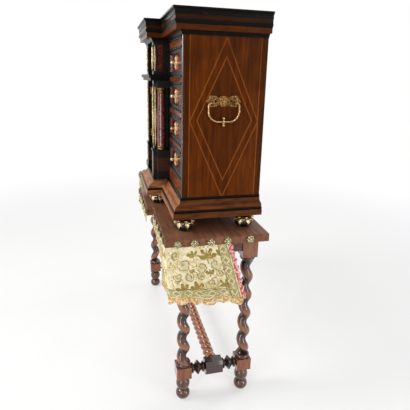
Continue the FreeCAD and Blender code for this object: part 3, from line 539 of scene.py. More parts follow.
def bandFinish(look):
    # cross-banded veneer, brighter low in the cornice, with painted shade darkening both cornice bands, the
    # upper one most, and painted light along the front of the base
    material, where = startFinish("bandVeneer")
    x, y, z = where.parts()
    run = where.node("CombineXYZ", {}, {0: (x + y) * 9.0, 1: (x - y) * 9.0, 2: z * 90.0})
    light = run.noise(1.0, 5.0, 0.65, 0.7).step(0.3, 0.72)
    fine = run.stretched(5, 5, 5).noise(1.0, 2.0)
    # painted light: the front faces of the base take the lighter frontLit tones
    front = ((look["corner"][1] - y) - (abs(x) - look["corner"][0])) > 0
    colour = front.tint(light.grade(look["brown"]), light.grade(look["frontLit"]))
    # painted shade: the cornice's upper band is darkest, its lower band less so
    colour = z.step(look["waist"], look["waist"] + 0.001).tint(colour, light.grade(look["upper"]))
    colour = z.within(look["waist"], look["split"], 0.001).tint(colour, light.grade(look["orange"]))
    colour = (fine.step(0.55, 0.7) * 0.4).tint(colour, look["brown"][1])
    return closeFinish(material, colour, fine * 0.2 + 0.24, specular=0.05, relief=(fine, 0.0003, 0.2))


dress(bandFinish(bandLook), "base_bands", "cornice_bands")

ebonyLook = {"black": srgb(14, 12, 10), "worn": srgb(44, 29, 19), "ripple": 0.0042}


def ebonyColour(where, look, wear=0.5):
    wearAndHighlight = where.noise(30.0, 4.0, 0.65)
    return wearAndHighlight, (wearAndHighlight.step(0.56, 0.74) * wear).tint(look["black"], look["worn"])


def ebonyFinish(name, look, gloss):
    material, where = startFinish(name)
    wearAndHighlight, colour = ebonyColour(where, look, 0.6)
    return closeFinish(
        material, colour, wearAndHighlight * 0.25 + (0.2 - 0.2 * gloss), specular=gloss,
        relief=(where.stretched(160, 160, 20).noise(1.0, 2.0), 0.0006, 0.35 - 0.4 * gloss))


mouldingNodes = ["base_mouldings", "cornice_mouldings", "centre_entablature"]
dress(ebonyFinish("ebonyMoulding", ebonyLook, 0.06), *mouldingNodes)
dress(ebonyFinish("polishedFoot", ebonyLook, 0.6), "bun_feet")

shellLook = {"red": srgb(92, 13, 12), "amber": srgb(138, 40, 22), "dark": srgb(24, 6, 6)}


def shellColour(where, look):
    drift = where.noise(38.0, 3.0, 0.55, 1.4)
    blotch = where.stretched(1, 1, 0.6).noise(62.0, 4.0, 0.6, 2.2)
    colour = drift.step(0.42, 0.66).tint(look["red"], look["amber"])
    return blotch.step(0.5, 0.6).tint(colour, look["dark"])


def shellFinish(look):
    material, where = startFinish("tortoiseshell")
    return closeFinish(
        material, shellColour(where, look), 0.14, specular=0.4,
        relief=(where.noise(24.0, 2.0), 0.0004, 0.15), more={"Coat Weight": 0.9, "Coat Roughness": 0.04})


dress(shellFinish(shellLook), "columns")

plainLook = {"tones": (srgb(158, 118, 80), srgb(112, 78, 48)), "knot": srgb(74, 46, 26)}


def plainColour(where, along, look):
    figure, pores = grainAlong(where, along, 0.6)
    colour = figure.step(0.3, 0.7).grade(look["tones"])
    return (pores.step(0.58, 0.7) * 0.5).tint(colour, look["knot"]), pores


def plainFinish(name, along, look):
    material, where = startFinish(name)
    colour, pores = plainColour(where, along, look)
    stains = where.noise(5.0, 4.0, 0.6)
    return closeFinish(
        material, (stains.step(0.5, 0.8) * 0.5).tint(colour, look["knot"]), stains * 0.2 + 0.6,
        specular=0.2, relief=(pores, 0.0006, 0.3))


dress(plainFinish("plainBoards", "x", plainLook), "carcass_bottom", "carcass_top", "dust_boards")
dress(plainFinish("backBoards", "z", plainLook), "back_boards", "inner_partitions")
print("case dressed")


# drawer fronts, frames and the centre

frontLook = {
    "wing": -0.11015,
    "recess": -0.14615,
    "sinking": 0.005,
    "floor": 1.013,
    "pitch": 0.132,
    "opening": 0.099,
    "bead": 0.0085,
    "wingFrom": 0.181,
    "rails": (1.10, 1.50),
    "ends": [(0.946, 1.004), (1.517, 1.543)],
    "rail": (srgb(124, 62, 28), srgb(80, 38, 16)),
    "pedestal": (srgb(66, 34, 18), srgb(40, 20, 11)),
    "pedestalBand": (0.975, 1.040),
}


def frontFinish(name, face, look):
    # rippled ebony border, sunk shell panel, plain boards behind
    material, where = startFinish(name)
    x, y, z = where.parts()
    deep = y - face
    sunk = look["sinking"]
    wearAndHighlight, ebony = ebonyColour(where, ebonyLook)
    board = plainColour(where, "y", plainLook)[0]
    inPanel = deep.step(sunk - 0.0009, sunk - 0.0005)
    behind = deep.step(sunk + 0.0006, sunk + 0.001)
    colour = inPanel.tint(ebony, shellColour(where, shellLook))
    ripples = x.waves(ebonyLook["ripple"]) + z.waves(ebonyLook["ripple"])
    return closeFinish(
        material, behind.tint(colour, board), (wearAndHighlight * 0.16 + 0.1) + behind * 0.45, specular=0.45,
        relief=(ripples * (1 - inPanel), 0.0006, 0.3),
        more={"Coat Weight": inPanel * (1 - behind) * 0.5, "Coat Roughness": 0.06})


wingDrawers = [f"drawer_{side}_{number}" for side in ("right", "left") for number in range(1, 5)]
dress(frontFinish("wingDrawerFront", frontLook["wing"], frontLook), *wingDrawers)
dress(frontFinish("centreFront", frontLook["recess"], frontLook), "attic_drawer", "centre_door")


def veneerColour(where, tones):
    return where.stretched(9, 9, 90).noise(1.0, 5.0, 0.6, 0.7).step(0.3, 0.7).grade(tones)


def fineRelief(where):
    return where.stretched(160, 160, 30).noise(1.0, 2.0)


def frameFinish(look):
    # ebony stiles and beads with a veneered band along each rail
    material, where = startFinish("wingFrame")
    x, z = where.parts("XZ")
    wearAndHighlight, ebony = ebonyColour(where, ebonyLook)
    level = (z - look["floor"]) % look["pitch"]
    band = level.within(look["opening"] + look["bead"], look["pitch"] - look["bead"], 0.0004)
    band = band * z.within(*look["rails"], 0.0004)
    for low, high in look["ends"]:
        band = band.most(z.within(low, high, 0.0004))
    band = band * (abs(x) > look["wingFrom"])
    return closeFinish(
        material, band.tint(ebony, veneerColour(where, look["rail"])), wearAndHighlight * 0.16 + 0.1, specular=0.45,
        relief=(x.waves(ebonyLook["ripple"]) * (1 - band), 0.0006, 0.3))


dress(frameFinish(frontLook), "wing_frame_right", "wing_frame_left")


def pedestalFinish(look):
    # ebony with a veneered field between two levels
    material, where = startFinish("pedestalEbony")
    z = where.parts("Z")[0]
    wearAndHighlight, ebony = ebonyColour(where, ebonyLook)
    band = z.within(*look["pedestalBand"], 0.0005)
    return closeFinish(
        material, band.tint(ebony, veneerColour(where, look["pedestal"])), wearAndHighlight * 0.2 + 0.2,
        specular=0.2, relief=(fineRelief(where), 0.0004, 0.3))


dress(pedestalFinish(frontLook), "centre_pedestals")

pierLook = {
    "deep": (-0.158, -0.134),
    "attic": (1.424, 1.54),
    "column": (1.09, 1.37),
    "skin": (0.1294, 0.1297),
}


def pierFinish(look):
    # ebony piers with strips of shell let into each outer side
    material, where = startFinish("pierEbony")
    x, y, z = where.parts()
    wearAndHighlight, ebony = ebonyColour(where, ebonyLook)
    levels = z.within(*look["attic"], 0.0006).most(z.within(*look["column"], 0.0006))
    strip = y.within(*look["deep"], 0.0005) * levels * abs(x).step(*look["skin"])
    return closeFinish(
        material, (strip * 0.7).tint(ebony, shellColour(where, shellLook)), wearAndHighlight * 0.2 + 0.16,
        specular=0.2, relief=(fineRelief(where), 0.0004, 0.3))


dress(pierFinish(pierLook), "centre_piers", "centre_frame")
print("fronts dressed")


# gilt mounts, brass handles and bronze plates

giltLook = {
    "bright": srgb(244, 229, 194), "deep": srgb(194, 163, 112), "tarnish": srgb(112, 89, 58),
    "chase": 170.0, "roughness": 0.22,
}
brassLook = {
    "bright": srgb(212, 176, 134), "deep": srgb(150, 112, 76), "tarnish": srgb(76, 54, 36),
    "chase": 260.0, "roughness": 0.2,
}
bronzeLook = {
    "bright": srgb(166, 124, 76), "deep": srgb(100, 70, 38), "tarnish": srgb(46, 31, 18),
    "chase": 260.0, "roughness": 0.24,
}
rosetteTone = {
    "bright": srgb(226, 220, 180), "deep": srgb(96, 92, 60), "tarnish": srgb(44, 44, 30),
    "chase": 320.0, "roughness": 0.25,
}


def metalFinish(name, look):
    # cast and chased metal, dull in its hollows
    material, where = startFinish(name)
    cells = where.node("TexVoronoi", {"feature": "SMOOTH_F1"}, {"Vector": where, "Scale": look["chase"]})
    wear = where.noise(48.0, 4.0, 0.6)
    colour = cells.step(0.15, 0.55).tint(look["bright"], look["deep"])
    colour = (wear.step(0.55, 0.72) * 0.7).tint(colour, look["tarnish"])
    return closeFinish(
        material, colour, wear * 0.25 + look["roughness"], relief=(1 - cells, 0.0012, 0.5),
        more={"Metallic": 1.0})


giltMetal = metalFinish("giltMetal", giltLook)
brassMetal = metalFinish("agedBrass", brassLook)
bronzeMetal = metalFinish("darkBronze", bronzeLook)
mountNodes = [name + "_mount" for name in wingDrawers]
dress(giltMetal, "foot_mounts", "pier_mounts", "attic_drawer_mount", "door_mount", *mountNodes)
dress(brassMetal, "bail_right", "bail_left", "door_hinge_pins", "door_hinge_leaves")
dress(bronzeMetal, "handle_plates", "column_mounts")


# sheets shaped from a grid

def makeSheet(name, columns, rows, place, layers, outward, gauge):
    # a grid shaped by place(a, t) and thickened, with one UV map for each layer(a, t)
    clearSelection()
    bpy.ops.mesh.primitive_grid_add(x_subdivisions=columns, y_subdivisions=rows, size=1)
    piece = newest(name)
    mesh = piece.data
    shares = [(vertex.co.x + 0.5, 0.5 - vertex.co.y) for vertex in mesh.vertices]
    for vertex, (a, t) in zip(mesh.vertices, shares):
        vertex.co = place(a, t)
    while mesh.uv_layers:
        mesh.uv_layers.remove(mesh.uv_layers[0])
    for layerName, layer in layers.items():
        spots = mesh.uv_layers.new(name=layerName).data
        for loop in mesh.loops:
            spots[loop.index].uv = layer(*shares[loop.vertex_index])
    mesh.update()
    normal = Vector()
    for face in mesh.polygons:
        normal += face.normal * face.area
    if normal.dot(Vector(outward)) < 0:
        cleanFaces(piece, flip=True)
    wall = piece.modifiers.new("wall", "SOLIDIFY")
    wall.thickness = gauge
    wall.offset = 1
    applyAll(piece)
    bpy.ops.object.shade_smooth()
    return piece


# rosette heads that hold the cloth

rosetteLook = {
    "size": 1.18,
    "disc": (0.0108, 0.002),
    "boss": 0.0056,
    "bossRise": 0.0042,
    "bossStretch": (1, 1, 0.8),
    "petals": 8,
    "petal": (0.0062, 0.0043, 0.0026),
    "petalRise": 0.0031,
    "petalLean": -14,
    "ring": 0.0078,
    "stand": 0.0024,
    "level": 0.785,
    "endX": 0.579,
    "frontY": -0.19115,
    "breakY": -0.22115,
    "ends": [-0.14515, -0.07815, -0.01115, 0.05585, 0.14985],
    "fronts": [0.533, 0.466, 0.399, 0.332, 0.265],
    "breaks": [0.0335, 0.1005, 0.1675],
}


def makeRosette(look):
    # one head about the origin, its face to +Z
    radius, thick = look["disc"]
    clearSelection()
    bpy.ops.mesh.primitive_cylinder_add(vertices=24, radius=radius, depth=thick, location=(0, 0, thick / 2))
    pieces = [bevelEdges(newest("rosetteDisc"))]
    spot = (0, 0, look["bossRise"])
    pieces.append(makeBall("rosetteBoss", 16, 8, look["boss"], look["bossStretch"], spot))
    spot = (look["ring"], 0, look["petalRise"])
    petal = makeBall("rosettePetal", 12, 6, 1, look["petal"], spot, look["petalLean"])
    for index in range(look["petals"]):
        turn = Matrix.Rotation(2 * math.pi * index / look["petals"], 4, "Z")
        pieces.append(copyTo(petal, turn, "rosetteLeaf"))
    bpy.data.objects.remove(petal)
    return smooth(joinAll(pieces, "rosette"), 60)


def placeRosettes(look):
    head = makeRosette(look)
    quarter = math.pi / 2
    level = look["level"]
    spots = []
    for y in look["ends"]:
        for side in (1, -1):
            spot = (side * (look["endX"] + look["stand"]), y, level)
            spots.append((Matrix.Rotation(side * quarter, 4, "Y"), spot))
    for line, row in ((look["frontY"], look["fronts"]), (look["breakY"], look["breaks"])):
        for x in row:
            for side in (1, -1):
                spot = (side * x, line - look["stand"], level)
                spots.append((Matrix.Rotation(quarter, 4, "X"), spot))
    grow = Matrix.Scale(look["size"], 4)
    heads = []
    for facing, spot in spots:
        heads.append(copyTo(head, Matrix.Translation(spot) @ facing @ grow, "rosetteHead"))
    bpy.data.objects.remove(head)
    heads = joinAll(heads, "rosetteHeads")
    finishPiece(heads, metalFinish("rosetteMetal", rosetteTone))
    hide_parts("rosette_studs")


placeRosettes(rosetteLook)
print("rosettes placed")


# gilt leaves over the shoulders of the bun feet

footLook = {
    "spots": [(0.466, -0.09815), (0.466, 0.15985), (0.088, -0.15615)],
    "floor": 0.800,
    "arc": (0.0145, 0.021, 0.0215),
    "leaves": 6,
    "wide": 0.0150,
    "from": 76,
    "to": -32,
    "gap": 0.0006,
    "swell": 0.0012,
    "curl": 0.0035,
    "gauge": 0.0013,
}


def makeFootLeaves(look):
    middle, level, radius = look["arc"]

    def place(a, t):
        angle = math.radians(look["from"] + (look["to"] - look["from"]) * t)
        across = 2 * a - 1
        belly = 0.45 + 0.9 * math.sin(math.pi * min(1, t * 1.05)) ** 0.8
        wide = look["wide"] * belly * (1 - 0.75 * t ** 3) * (1 + 0.12 * math.sin(9 * math.pi * t))
        lift = look["gap"] + look["swell"] * (1 - across ** 2) + look["curl"] * max(0, t - 0.8)
        out = middle + (radius + lift) * math.cos(angle)
        turn = across * wide / 2 / out
        up = level + (radius + lift) * math.sin(angle)
        return Vector((out * math.cos(turn), out * math.sin(turn), up))

    leaf = makeSheet("footLeaf", 6, 14, place, {}, (1, 0, 0.5), look["gauge"])
    copies = []
    for x, y in look["spots"]:
        for side in (1, -1):
            foot = Matrix.Translation((side * x, y, look["floor"]))
            for index in range(look["leaves"]):
                turn = Matrix.Rotation(math.pi * (2 * index + 0.5) / look["leaves"], 4, "Z")
                copies.append(copyTo(leaf, foot @ turn, "footLeafCopy"))
    bpy.data.objects.remove(leaf)
    finishPiece(joinAll(copies, "footLeaves"), giltMetal)


makeFootLeaves(footLook)
print("foot leaves made")


# scrolled overlay of the handle plates

scrollLook = {
    "x": 0.4775,
    "middle": (0.04985, 1.317),
    "wire": 0.0017,
    "wireRise": 0.6,
    # centre, first and last reach, start angle, turns
    "big": ((0.043, 0.0085), 0.0085, 0.0015, 0.9 * math.pi, -1.6),
    "small": ((0.021, 0.0078), 0.0068, 0.0012, 0.2, 1.5),
    "stem": [(0.012, 0.001), (0.02, 0.0), (0.029, 0.0035), (0.0345, 0.011)],
    # place along the plate, radius
    "knops": [(-0.064, 0.0035), (0, 0.0055), (0.064, 0.0035)],
    "knopRise": 0.001,
    "knopStretch": (0.6, 1, 1),
}


def spiral(centre, first, last, start, turns, count=40):
    points = []
    for index in range(count + 1):
        share = index / count
        reach = first + (last - first) * share
        angle = start + 2 * math.pi * turns * share
        points.append((centre[0] + reach * math.cos(angle), centre[1] + reach * math.sin(angle)))
    return points


def scrollTube(points, wire, closed=False):
    curve = bpy.data.curves.new("scroll", "CURVE")
    curve.dimensions = "3D"
    curve.bevel_depth = wire
    curve.bevel_resolution = 2
    curve.resolution_u = 5
    curve.use_fill_caps = not closed
    line = curve.splines.new("NURBS")
    line.points.add(len(points) - 1)
    for spot, place in zip(line.points, points):
        spot.co = (*place, 1)
    line.order_u = 3
    line.use_endpoint_u = not closed
    line.use_cyclic_u = closed
    tube = bpy.data.objects.new("scroll", curve)
    bpy.context.scene.collection.objects.link(tube)
    pick(tube)
    bpy.ops.object.convert(target="MESH")
    return bpy.context.active_object


def makeScrolls(look, side, name):
    out = side * (look["x"] + look["wire"] * look["wireRise"])
    middle, level = look["middle"]
    paths = [spiral(*look["big"]), spiral(*look["small"]), look["stem"]]
    pieces = []
    for sign in (1, -1):
        for flip in (1, -1):
            for path in paths:
                points = [(out, middle + sign * a, level + flip * b) for a, b in path]
                pieces.append(scrollTube(points, look["wire"]))
    for along, reach in look["knops"]:
        place = (side * (look["x"] + look["knopRise"]), middle + along, level)
        pieces.append(makeBall("knop", 14, 8, reach, look["knopStretch"], place))
    scrolls = smooth(cleanFaces(joinAll(pieces, name)), 50)
    finishPiece(scrolls, bronzeMetal)


makeScrolls(scrollLook, 1, "handleScrollsRight")
makeScrolls(scrollLook, -1, "handleScrollsLeft")
print("handle scrolls made")


# raised work on the gilt mounts

reliefLook = {
    # outline, wire, curls, ring and pearls go by a mount's width and height
    "shares": [(0.0, -0.5), (0.20, -0.45), (0.27, -0.30), (0.31, -0.21), (0.41, -0.17), (0.50, -0.04),
               (0.42, 0.10), (0.33, 0.15), (0.30, 0.25), (0.24, 0.41), (0.0, 0.5)],
    "inset": 0.92,
    "plate": 0.0025,
    "wingSize": (0.046, 0.058),
    "doorSize": (0.070, 0.120),
    "wire": 0.026,
    # how far each part stands out, in wires
    "rises": {"rim": 0.4, "volute": 1.2, "ear": 0.7, "pearl": 0.3},
    # across, up, first and last reach, start angle, turns, points
    "volute": (0.16, 0.285, 0.105, 0.02, -0.35 * math.pi, 1.6, 26),
    "ear": (0.355, -0.03, 0.075, 0.015, 0.9 * math.pi, -1.4, 22),
    "ring": 0.145,
    "ringRise": 0.0021,
    "pearl": 0.045,
    "pearlStretch": (1, 0.8, 1),
    "pearls": [-0.43, 0.36, 0.43],
    "husk": (0.0030, 0.0022, 0.0070),
    "huskLean": 28,
    "huskSpread": (0.0042, 0.0005),
    "huskStep": 0.0155,
    "huskRun": 0.8,
    "huskShrink": 0.55,
    # middle, level and height of the pier strips
    "strips": [(0.109, 1.230, 0.282), (0.109, 1.482, 0.112)],
    "strip": 0.026,
    "stripWire": 0.0011,
    "stripFace": -0.17865,
}


def rimTube(look, width, height, wire):
    right = [(a * width, b * height) for a, b in look["shares"]]
    left = [(-a, b) for a, b in reversed(right[1:-1])]
    rise = look["rises"]["rim"] * wire
    path = [(look["inset"] * a, -rise, look["inset"] * b) for a, b in right + left]
    return scrollTube(path, wire, True)


def curl(spot, width, height):
    across, up, first, last, start, turns, count = spot
    return spiral((across * width, up * height), first * width, last * width, start, turns, count)


def makeCartouche(look, width, height):
    # rim, volutes, ears, ring and pearls of one mount about the origin, facing -Y
    wire = look["wire"] * width
    rises = {part: share * wire for part, share in look["rises"].items()}
    pieces = [rimTube(look, width, height, wire)]
    volute = curl(look["volute"], width, height)
    ear = curl(look["ear"], width, height)
    for sign in (1, -1):
        for flip in (1, -1):
            pieces.append(scrollTube([(sign * a, -rises["volute"], flip * b) for a, b in volute], wire))
        pieces.append(scrollTube([(sign * a, -rises["ear"], b) for a, b in ear], wire))
    reach = look["ring"] * width
    ring = spiral((0, 0), reach, reach, 0, 1, 16)[:-1]
    pieces.append(scrollTube([(a, -look["ringRise"], b) for a, b in ring], wire, True))
    for up in look["pearls"]:
        place = (0, -rises["pearl"], up * height)
        pieces.append(makeBall("pearl", 12, 6, look["pearl"] * width, look["pearlStretch"], place))
    return smooth(cleanFaces(joinAll(pieces, "cartouche")), 50)


def makeHusk(look):
    # three lobes of a bellflower, opening downwards
    lobes = []
    spread, fall = look["huskSpread"]
    for side in (-1, 0, 1):
        lean = side * look["huskLean"]
        place = (-spread * math.sin(math.radians(lean)), 0, -fall * abs(side))
        lobes.append(makeBall("huskLobe", 10, 8, 1, look["husk"], place, lean))
    return smooth(joinAll(lobes, "husk"), 60)


def placeMountRelief(look):
    wing = makeCartouche(look, *look["wingSize"])
    door = makeCartouche(look, *look["doorSize"])
    masters = {owner: (owner + "_mount", wing) for owner in wingDrawers + ["attic_drawer"]}
    masters["centre_door"] = ("door_mount", door)
    for owner, (mount, master) in masters.items():
        low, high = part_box(mount)
        spot = ((low[0] + high[0]) / 2, high[1] - look["plate"], (low[2] + high[2]) / 2)
        relief = copyTo(master, Matrix.Translation(spot), owner + "_relief")
        finishPiece(relief, giltMetal, owner)
    bpy.data.objects.remove(wing)
    bpy.data.objects.remove(door)


def placePierHusks(look):
    # a rim and a row of husks that shrink towards its ends, on each pier strip
    husk = makeHusk(look)
    pieces = []
    for x, level, tall in look["strips"]:
        rim = rimTube(look, look["strip"], tall, look["stripWire"])
        count = int(tall * look["huskRun"] / look["huskStep"])
        for side in (1, -1):
            base = Vector((side * x, look["stripFace"], level))
            pieces.append(copyTo(rim, Matrix.Translation(base), "stripRim"))
            for index in range(count):
                up = (index - (count - 1) / 2) * look["huskStep"]
                size = Matrix.Scale(1 - look["huskShrink"] * abs(2 * up / tall), 4)
                place = Matrix.Translation(base + Vector((0, 0, up)))
                pieces.append(copyTo(husk, place @ size, "stripHusk"))
        bpy.data.objects.remove(rim)
    bpy.data.objects.remove(husk)
    finishPiece(smooth(joinAll(pieces, "pierHusks"), 50), giltMetal)


placeMountRelief(reliefLook)
placePierHusks(reliefLook)
print("mounts raised")


# polished bead down each front corner of the case

beadLook = {
    "corner": (0.4748, -0.1099),
    "low": 0.938,
    "high": 1.551,
    "radius": 0.0029,
    "black": srgb(34, 29, 26),
}


def beadFinish(look):
    material, where = startFinish("polishedBead")
    wearAndHighlight = where.stretched(60, 60, 9).noise(1.0, 4.0, 0.65)
    return closeFinish(
        material, wearAndHighlight.step(0.4, 0.7).tint(ebonyLook["worn"], look["black"]), wearAndHighlight * 0.2 + 0.12,
        specular=0.6, relief=(wearAndHighlight, 0.0003, 0.2),
        more={"Coat Weight": wearAndHighlight.step(0.3, 0.5), "Coat Roughness": 0.08})


def makeBeads(look):
    beads = []
    x, y = look["corner"]
    tall = look["high"] - look["low"]
    for side in (1, -1):
        place = (side * x, y, (look["low"] + look["high"]) / 2)
        clearSelection()
        bpy.ops.mesh.primitive_cylinder_add(vertices=20, radius=look["radius"], depth=tall, location=place)
        beads.append(bevelEdges(settle(newest("bead"))))
    finishPiece(smooth(joinAll(beads, "cornerBeads"), 40), beadFinish(look))


makeBeads(beadLook)
print("corner beads made")


# embroidered cloth with its galloon and ruffled trims

clothLook = {
    "half": 0.5798,
    "front": -0.19195,
    "endTop": 0.251,
    "endHem": 0.318,
    "frontRun": 0.383,
    "rise": 0.024,
    "riseBend": 1.4,
    "topLevel": 0.775,
    "drop": 0.240,
    "frontDrop": 0.036,
    "sweep": 0.075,
    "flare": 0.012,
    "flareBend": 1.5,
    "fold": 0.0055,
    "foldBend": 1.2,
    # length, phase and share of each wave in the folds
    "waves": [(0.093, 0.6, 1), (0.041, 1.7, 0.45)],
    # depth, length and phase of the wave along the hem
    "hemWave": (0.004, 0.11, 0.5),
    # roundness of the corner at the nails, and what it gains by the hem
    "corner": (0.001, 0.03),
    "sag": 0.003,
    "nail": (0.046, 0.067),
    "turn": 0.02,
    "slant": (0.953, 0.302),
    "gauge": 0.0014,
    "grid": (168, 48),
    "breakHalf": 0.1945,
    "breakFront": -0.22195,
    "breakFlare": 0.0016,
    # depth and number of its folds
    "breakFolds": (0.0007, 5.5),
}


def clothDrop(along, look):
    past = along - look["endTop"]
    if past <= 0:
        return look["drop"] - look["rise"] * (along / look["endTop"]) ** look["riseBend"]
    corner = look["drop"] - look["rise"]
    return look["frontDrop"] + (corner - look["frontDrop"]) * math.exp(-past / look["sweep"])


def clothLean(along, look):
    # 1 where the cloth faces the end of the table, 0 where it faces the front
    past = along - look["endTop"]
    return 0.5 - 0.5 * past / math.hypot(past, look["turn"])


def clothPoint(along, down, look):
    # a point of the right-hand cloth: along its nailed edge from the back, and down as a share of its drop
    past = along - look["endTop"]
    drop = clothDrop(along, look)
    share = drop / look["drop"]
    tight, ease = look["corner"]
    bend = math.hypot(past, tight + ease * down)
    ahead = (past + bend) / 2
    behind = (bend - past) / 2
    wave = 0
    for length, phase, part in look["waves"]:
        wave += part * math.sin(2 * math.pi * along / length + phase)
    off = look["flare"] * down ** look["flareBend"] * share
    off += look["fold"] * down ** look["foldBend"] * share * wave
    lean = clothLean(along, look)
    size = math.hypot(lean, 1 - lean)
    spread = 1 + (look["endHem"] / look["endTop"] - 1) * down
    x = look["half"] - ahead + off * lean / size
    y = look["front"] + behind * spread - off * (1 - lean) / size
    first, pitch = look["nail"]
    between = max(0, abs(past) - first) / pitch
    z = look["topLevel"] - drop * down - look["sag"] * (1 - down) * math.sin(math.pi * between) ** 2
    deep, length, phase = look["hemWave"]
    z -= deep * down * share * math.sin(2 * math.pi * along / length + phase)
    return Vector((x, y, z))


def mirrorCopy(piece):
    name = piece.name.replace("Right", "Left")
    return cleanFaces(copyTo(piece, Matrix.Scale(-1, 4, Vector((1, 0, 0))), name), flip=True)


def makeCloth(look):
    run = look["endTop"] + look["frontRun"]

    def place(a, t):
        return clothPoint(a * run, t, look)

    def cut(a, t):
        return (a * run, t * clothDrop(a * run, look))

    def edge(a, t):
        spread = 1 + (look["endHem"] / look["endTop"] - 1) * t
        return (a * run * spread * look["slant"][0], (1 - t) * clothDrop(a * run, look))

    columns, rows = look["grid"]
    layers = {"cut": cut, "edge": edge}
    return makeSheet("clothRight", columns, rows, place, layers, (1, -1, 0), look["gauge"])


trimLook = {
    "hem": 0.027,
    "hemPitch": 0.058,
    "hemOff": 0.0012,
    "hemTuck": 0.004,
    "edge": 0.023,
    "edgePitch": 0.031,
    "edgeOff": 0.0014,
    "edgeTuck": 0.003,
    "edgeSag": 0.004,
    "ruffle": 0.0078,
    "gauge": 0.0012,
    # main, pale and deep silk; the deep tone also paints shade along the top edge
    "ochre": (srgb(200, 152, 94), srgb(240, 216, 172), srgb(152, 102, 56)),
    "pink": (srgb(196, 78, 84), srgb(242, 206, 190), srgb(152, 44, 56)),
    "loop": 0.0031,
    "row": 0.0042,
}


def makeHemTrim(look, trim):
    run = look["endTop"] + look["frontRun"]

    def atHem(along):
        # a run along the nails as long as it is at the hem
        return along * look["endHem"] / look["endTop"]

    def place(a, t):
        along = a * run
        share = clothDrop(along, look) / look["drop"]
        phase = math.pi * atHem(along) / trim["hemPitch"]
        wide = trim["hem"] * (0.45 + 0.55 * share) * (0.5 + 0.5 * abs(math.sin(phase)))
        lean = clothLean(along, look)
        ruffle = math.sin(2 * phase + 0.4) + 0.5 * math.sin(3.1 * phase)
        out = trim["hemOff"] + trim["ruffle"] * share * t * ruffle
        tuck = trim["hemTuck"]
        move = Vector((out * lean, -out * (1 - lean), tuck - (wide + tuck) * t))
        return clothPoint(along, 1, look) + move

    def cut(a, t):
        return (atHem(a * run), t * trim["hem"])

    return makeSheet("hemTrimRight", 260, 6, place, {"cut": cut}, (1, -1, 0), trim["gauge"])


def makeEdgeTrim(look, trim):
    tall = math.hypot(look["drop"], look["endHem"] - look["endTop"])
    back, rise = look["slant"]

    def place(a, t):
        phase = math.pi * a * tall / trim["edgePitch"]
        wide = trim["edge"] * (0.55 + 0.45 * abs(math.sin(phase)))
        ruffle = math.sin(2 * phase + 0.9) + 0.4 * math.sin(3.3 * phase)
        out = trim["edgeOff"] + trim["ruffle"] * t * ruffle
        up = rise * wide * t - trim["edgeSag"] * t
        move = Vector((out, back * (wide * t - trim["edgeTuck"]), up))
        return clothPoint(0, a, look) + move

    def cut(a, t):
        return (a * tall, t * trim["edge"])

    return makeSheet("edgeTrimRight", 110, 6, place, {"cut": cut}, (1, 0, 0), trim["gauge"])


def makeBreakStrip(look):
    # the shallow strip on the table's break
    half = look["breakHalf"]
    drop = look["frontDrop"]
    deep, folds = look["breakFolds"]

    def place(a, t):
        wave = deep * t * math.sin(2 * math.pi * a * folds)
        y = look["breakFront"] - look["breakFlare"] * t - wave
        return Vector((half * (2 * a - 1), y, look["topLevel"] - drop * t))

    def cut(a, t):
        return (a * 2 * half, t * drop)

    def edge(a, t):
        # too far from the slanted edge for its galloon
        return (0.2, (1 - t) * drop)

    layers = {"cut": cut, "edge": edge}
    return makeSheet("clothMiddle", 90, 10, place, layers, (0, -1, 0), look["gauge"])


embroideryLook = {
    "ground": srgb(238, 227, 192),
    "shade": srgb(214, 192, 142),
    "olive": srgb(142, 126, 62),
    "dark": srgb(98, 82, 36),
    "gold": srgb(204, 168, 96),
    "galloon": srgb(140, 138, 84),
    "blue": srgb(134, 152, 128),
    "repeat": 0.22,
    "axis": 0.157,
    "tall": 0.78,
    "sway": 0.016,
    # centre, level, radius, hand
    "scrolls": [(0.026, 0.068, 0.022, 1), (0.036, 0.098, 0.015, -1), (0.090, 0.058, 0.026, 1),
                (0.002, 0.130, 0.022, 1), (0.076, 0.102, 0.018, -1), (0.116, 0.098, 0.017, 1),
                (0.122, 0.026, 0.016, -1)],
    # centre, level, radius, lobes
    "fans": [(0.0, 0.046, 0.038, 4.5), (0.050, 0.148, 0.030, 3.5), (0.100, 0.148, 0.028, 3.5),
             (0.054, 0.036, 0.024, 3.5), (0.0, 0.098, 0.018, 2.5), (0.062, 0.088, 0.014, 2.5)],
    "line": 0.0042,
    "thread": 0.0011,
    # galloon bands from and to, and their lozenges: centre, half width, pitch, half length
    "slant": (0.009, 0.043),
    "slantLozenge": (0.026, 0.016, 0.046, 0.021),
    "foot": (0.008, 0.040),
    "footLozenge": (0.024, 0.015, 0.040, 0.018),
}


def scrollMask(a, v, spot, width):
    # a volute of about one and a half turns, and the wash of silk inside it
    centre, level, radius, hand = spot
    dx = (a - centre) * hand
    dy = v - level
    reach = dx.reach(dy)
    angle = dy.maths("ARCTAN2", dy, dx) / (2 * math.pi)
    turn = (angle + reach * (1.5 / radius)) % 1.0
    half = width * 0.75 / radius
    swell = reach * (1.1 / radius) + 0.35  # stouter towards its outer end
    line = (abs(turn - 0.5) / swell).step(half * 1.3, half * 0.8) * reach.step(radius, radius * 0.93)
    return line, reach.step(radius * 0.85, radius * 0.45)


def fanMask(a, v, spot):
    # an upright fan of petals, and the petals' outline with a short stalk
    centre, level, radius, lobes = spot
    dx = a - centre
    dy = level - v
    petals = abs((dy.maths("ARCTAN2", dy, dx) * lobes).sine())
    share = dx.reach(dy) / (petals * (radius * 0.55) + radius * 0.45)
    upright = dy.step(-0.002, 0.002)
    stalk = abs(dx).step(0.0024, 0.0014) * dy.within(-radius * 0.45, 0.0, 0.001)
    return share.step(1.0, 0.94) * upright, (share.line(0.92, 0.08, 0.04) * upright).most(stalk)


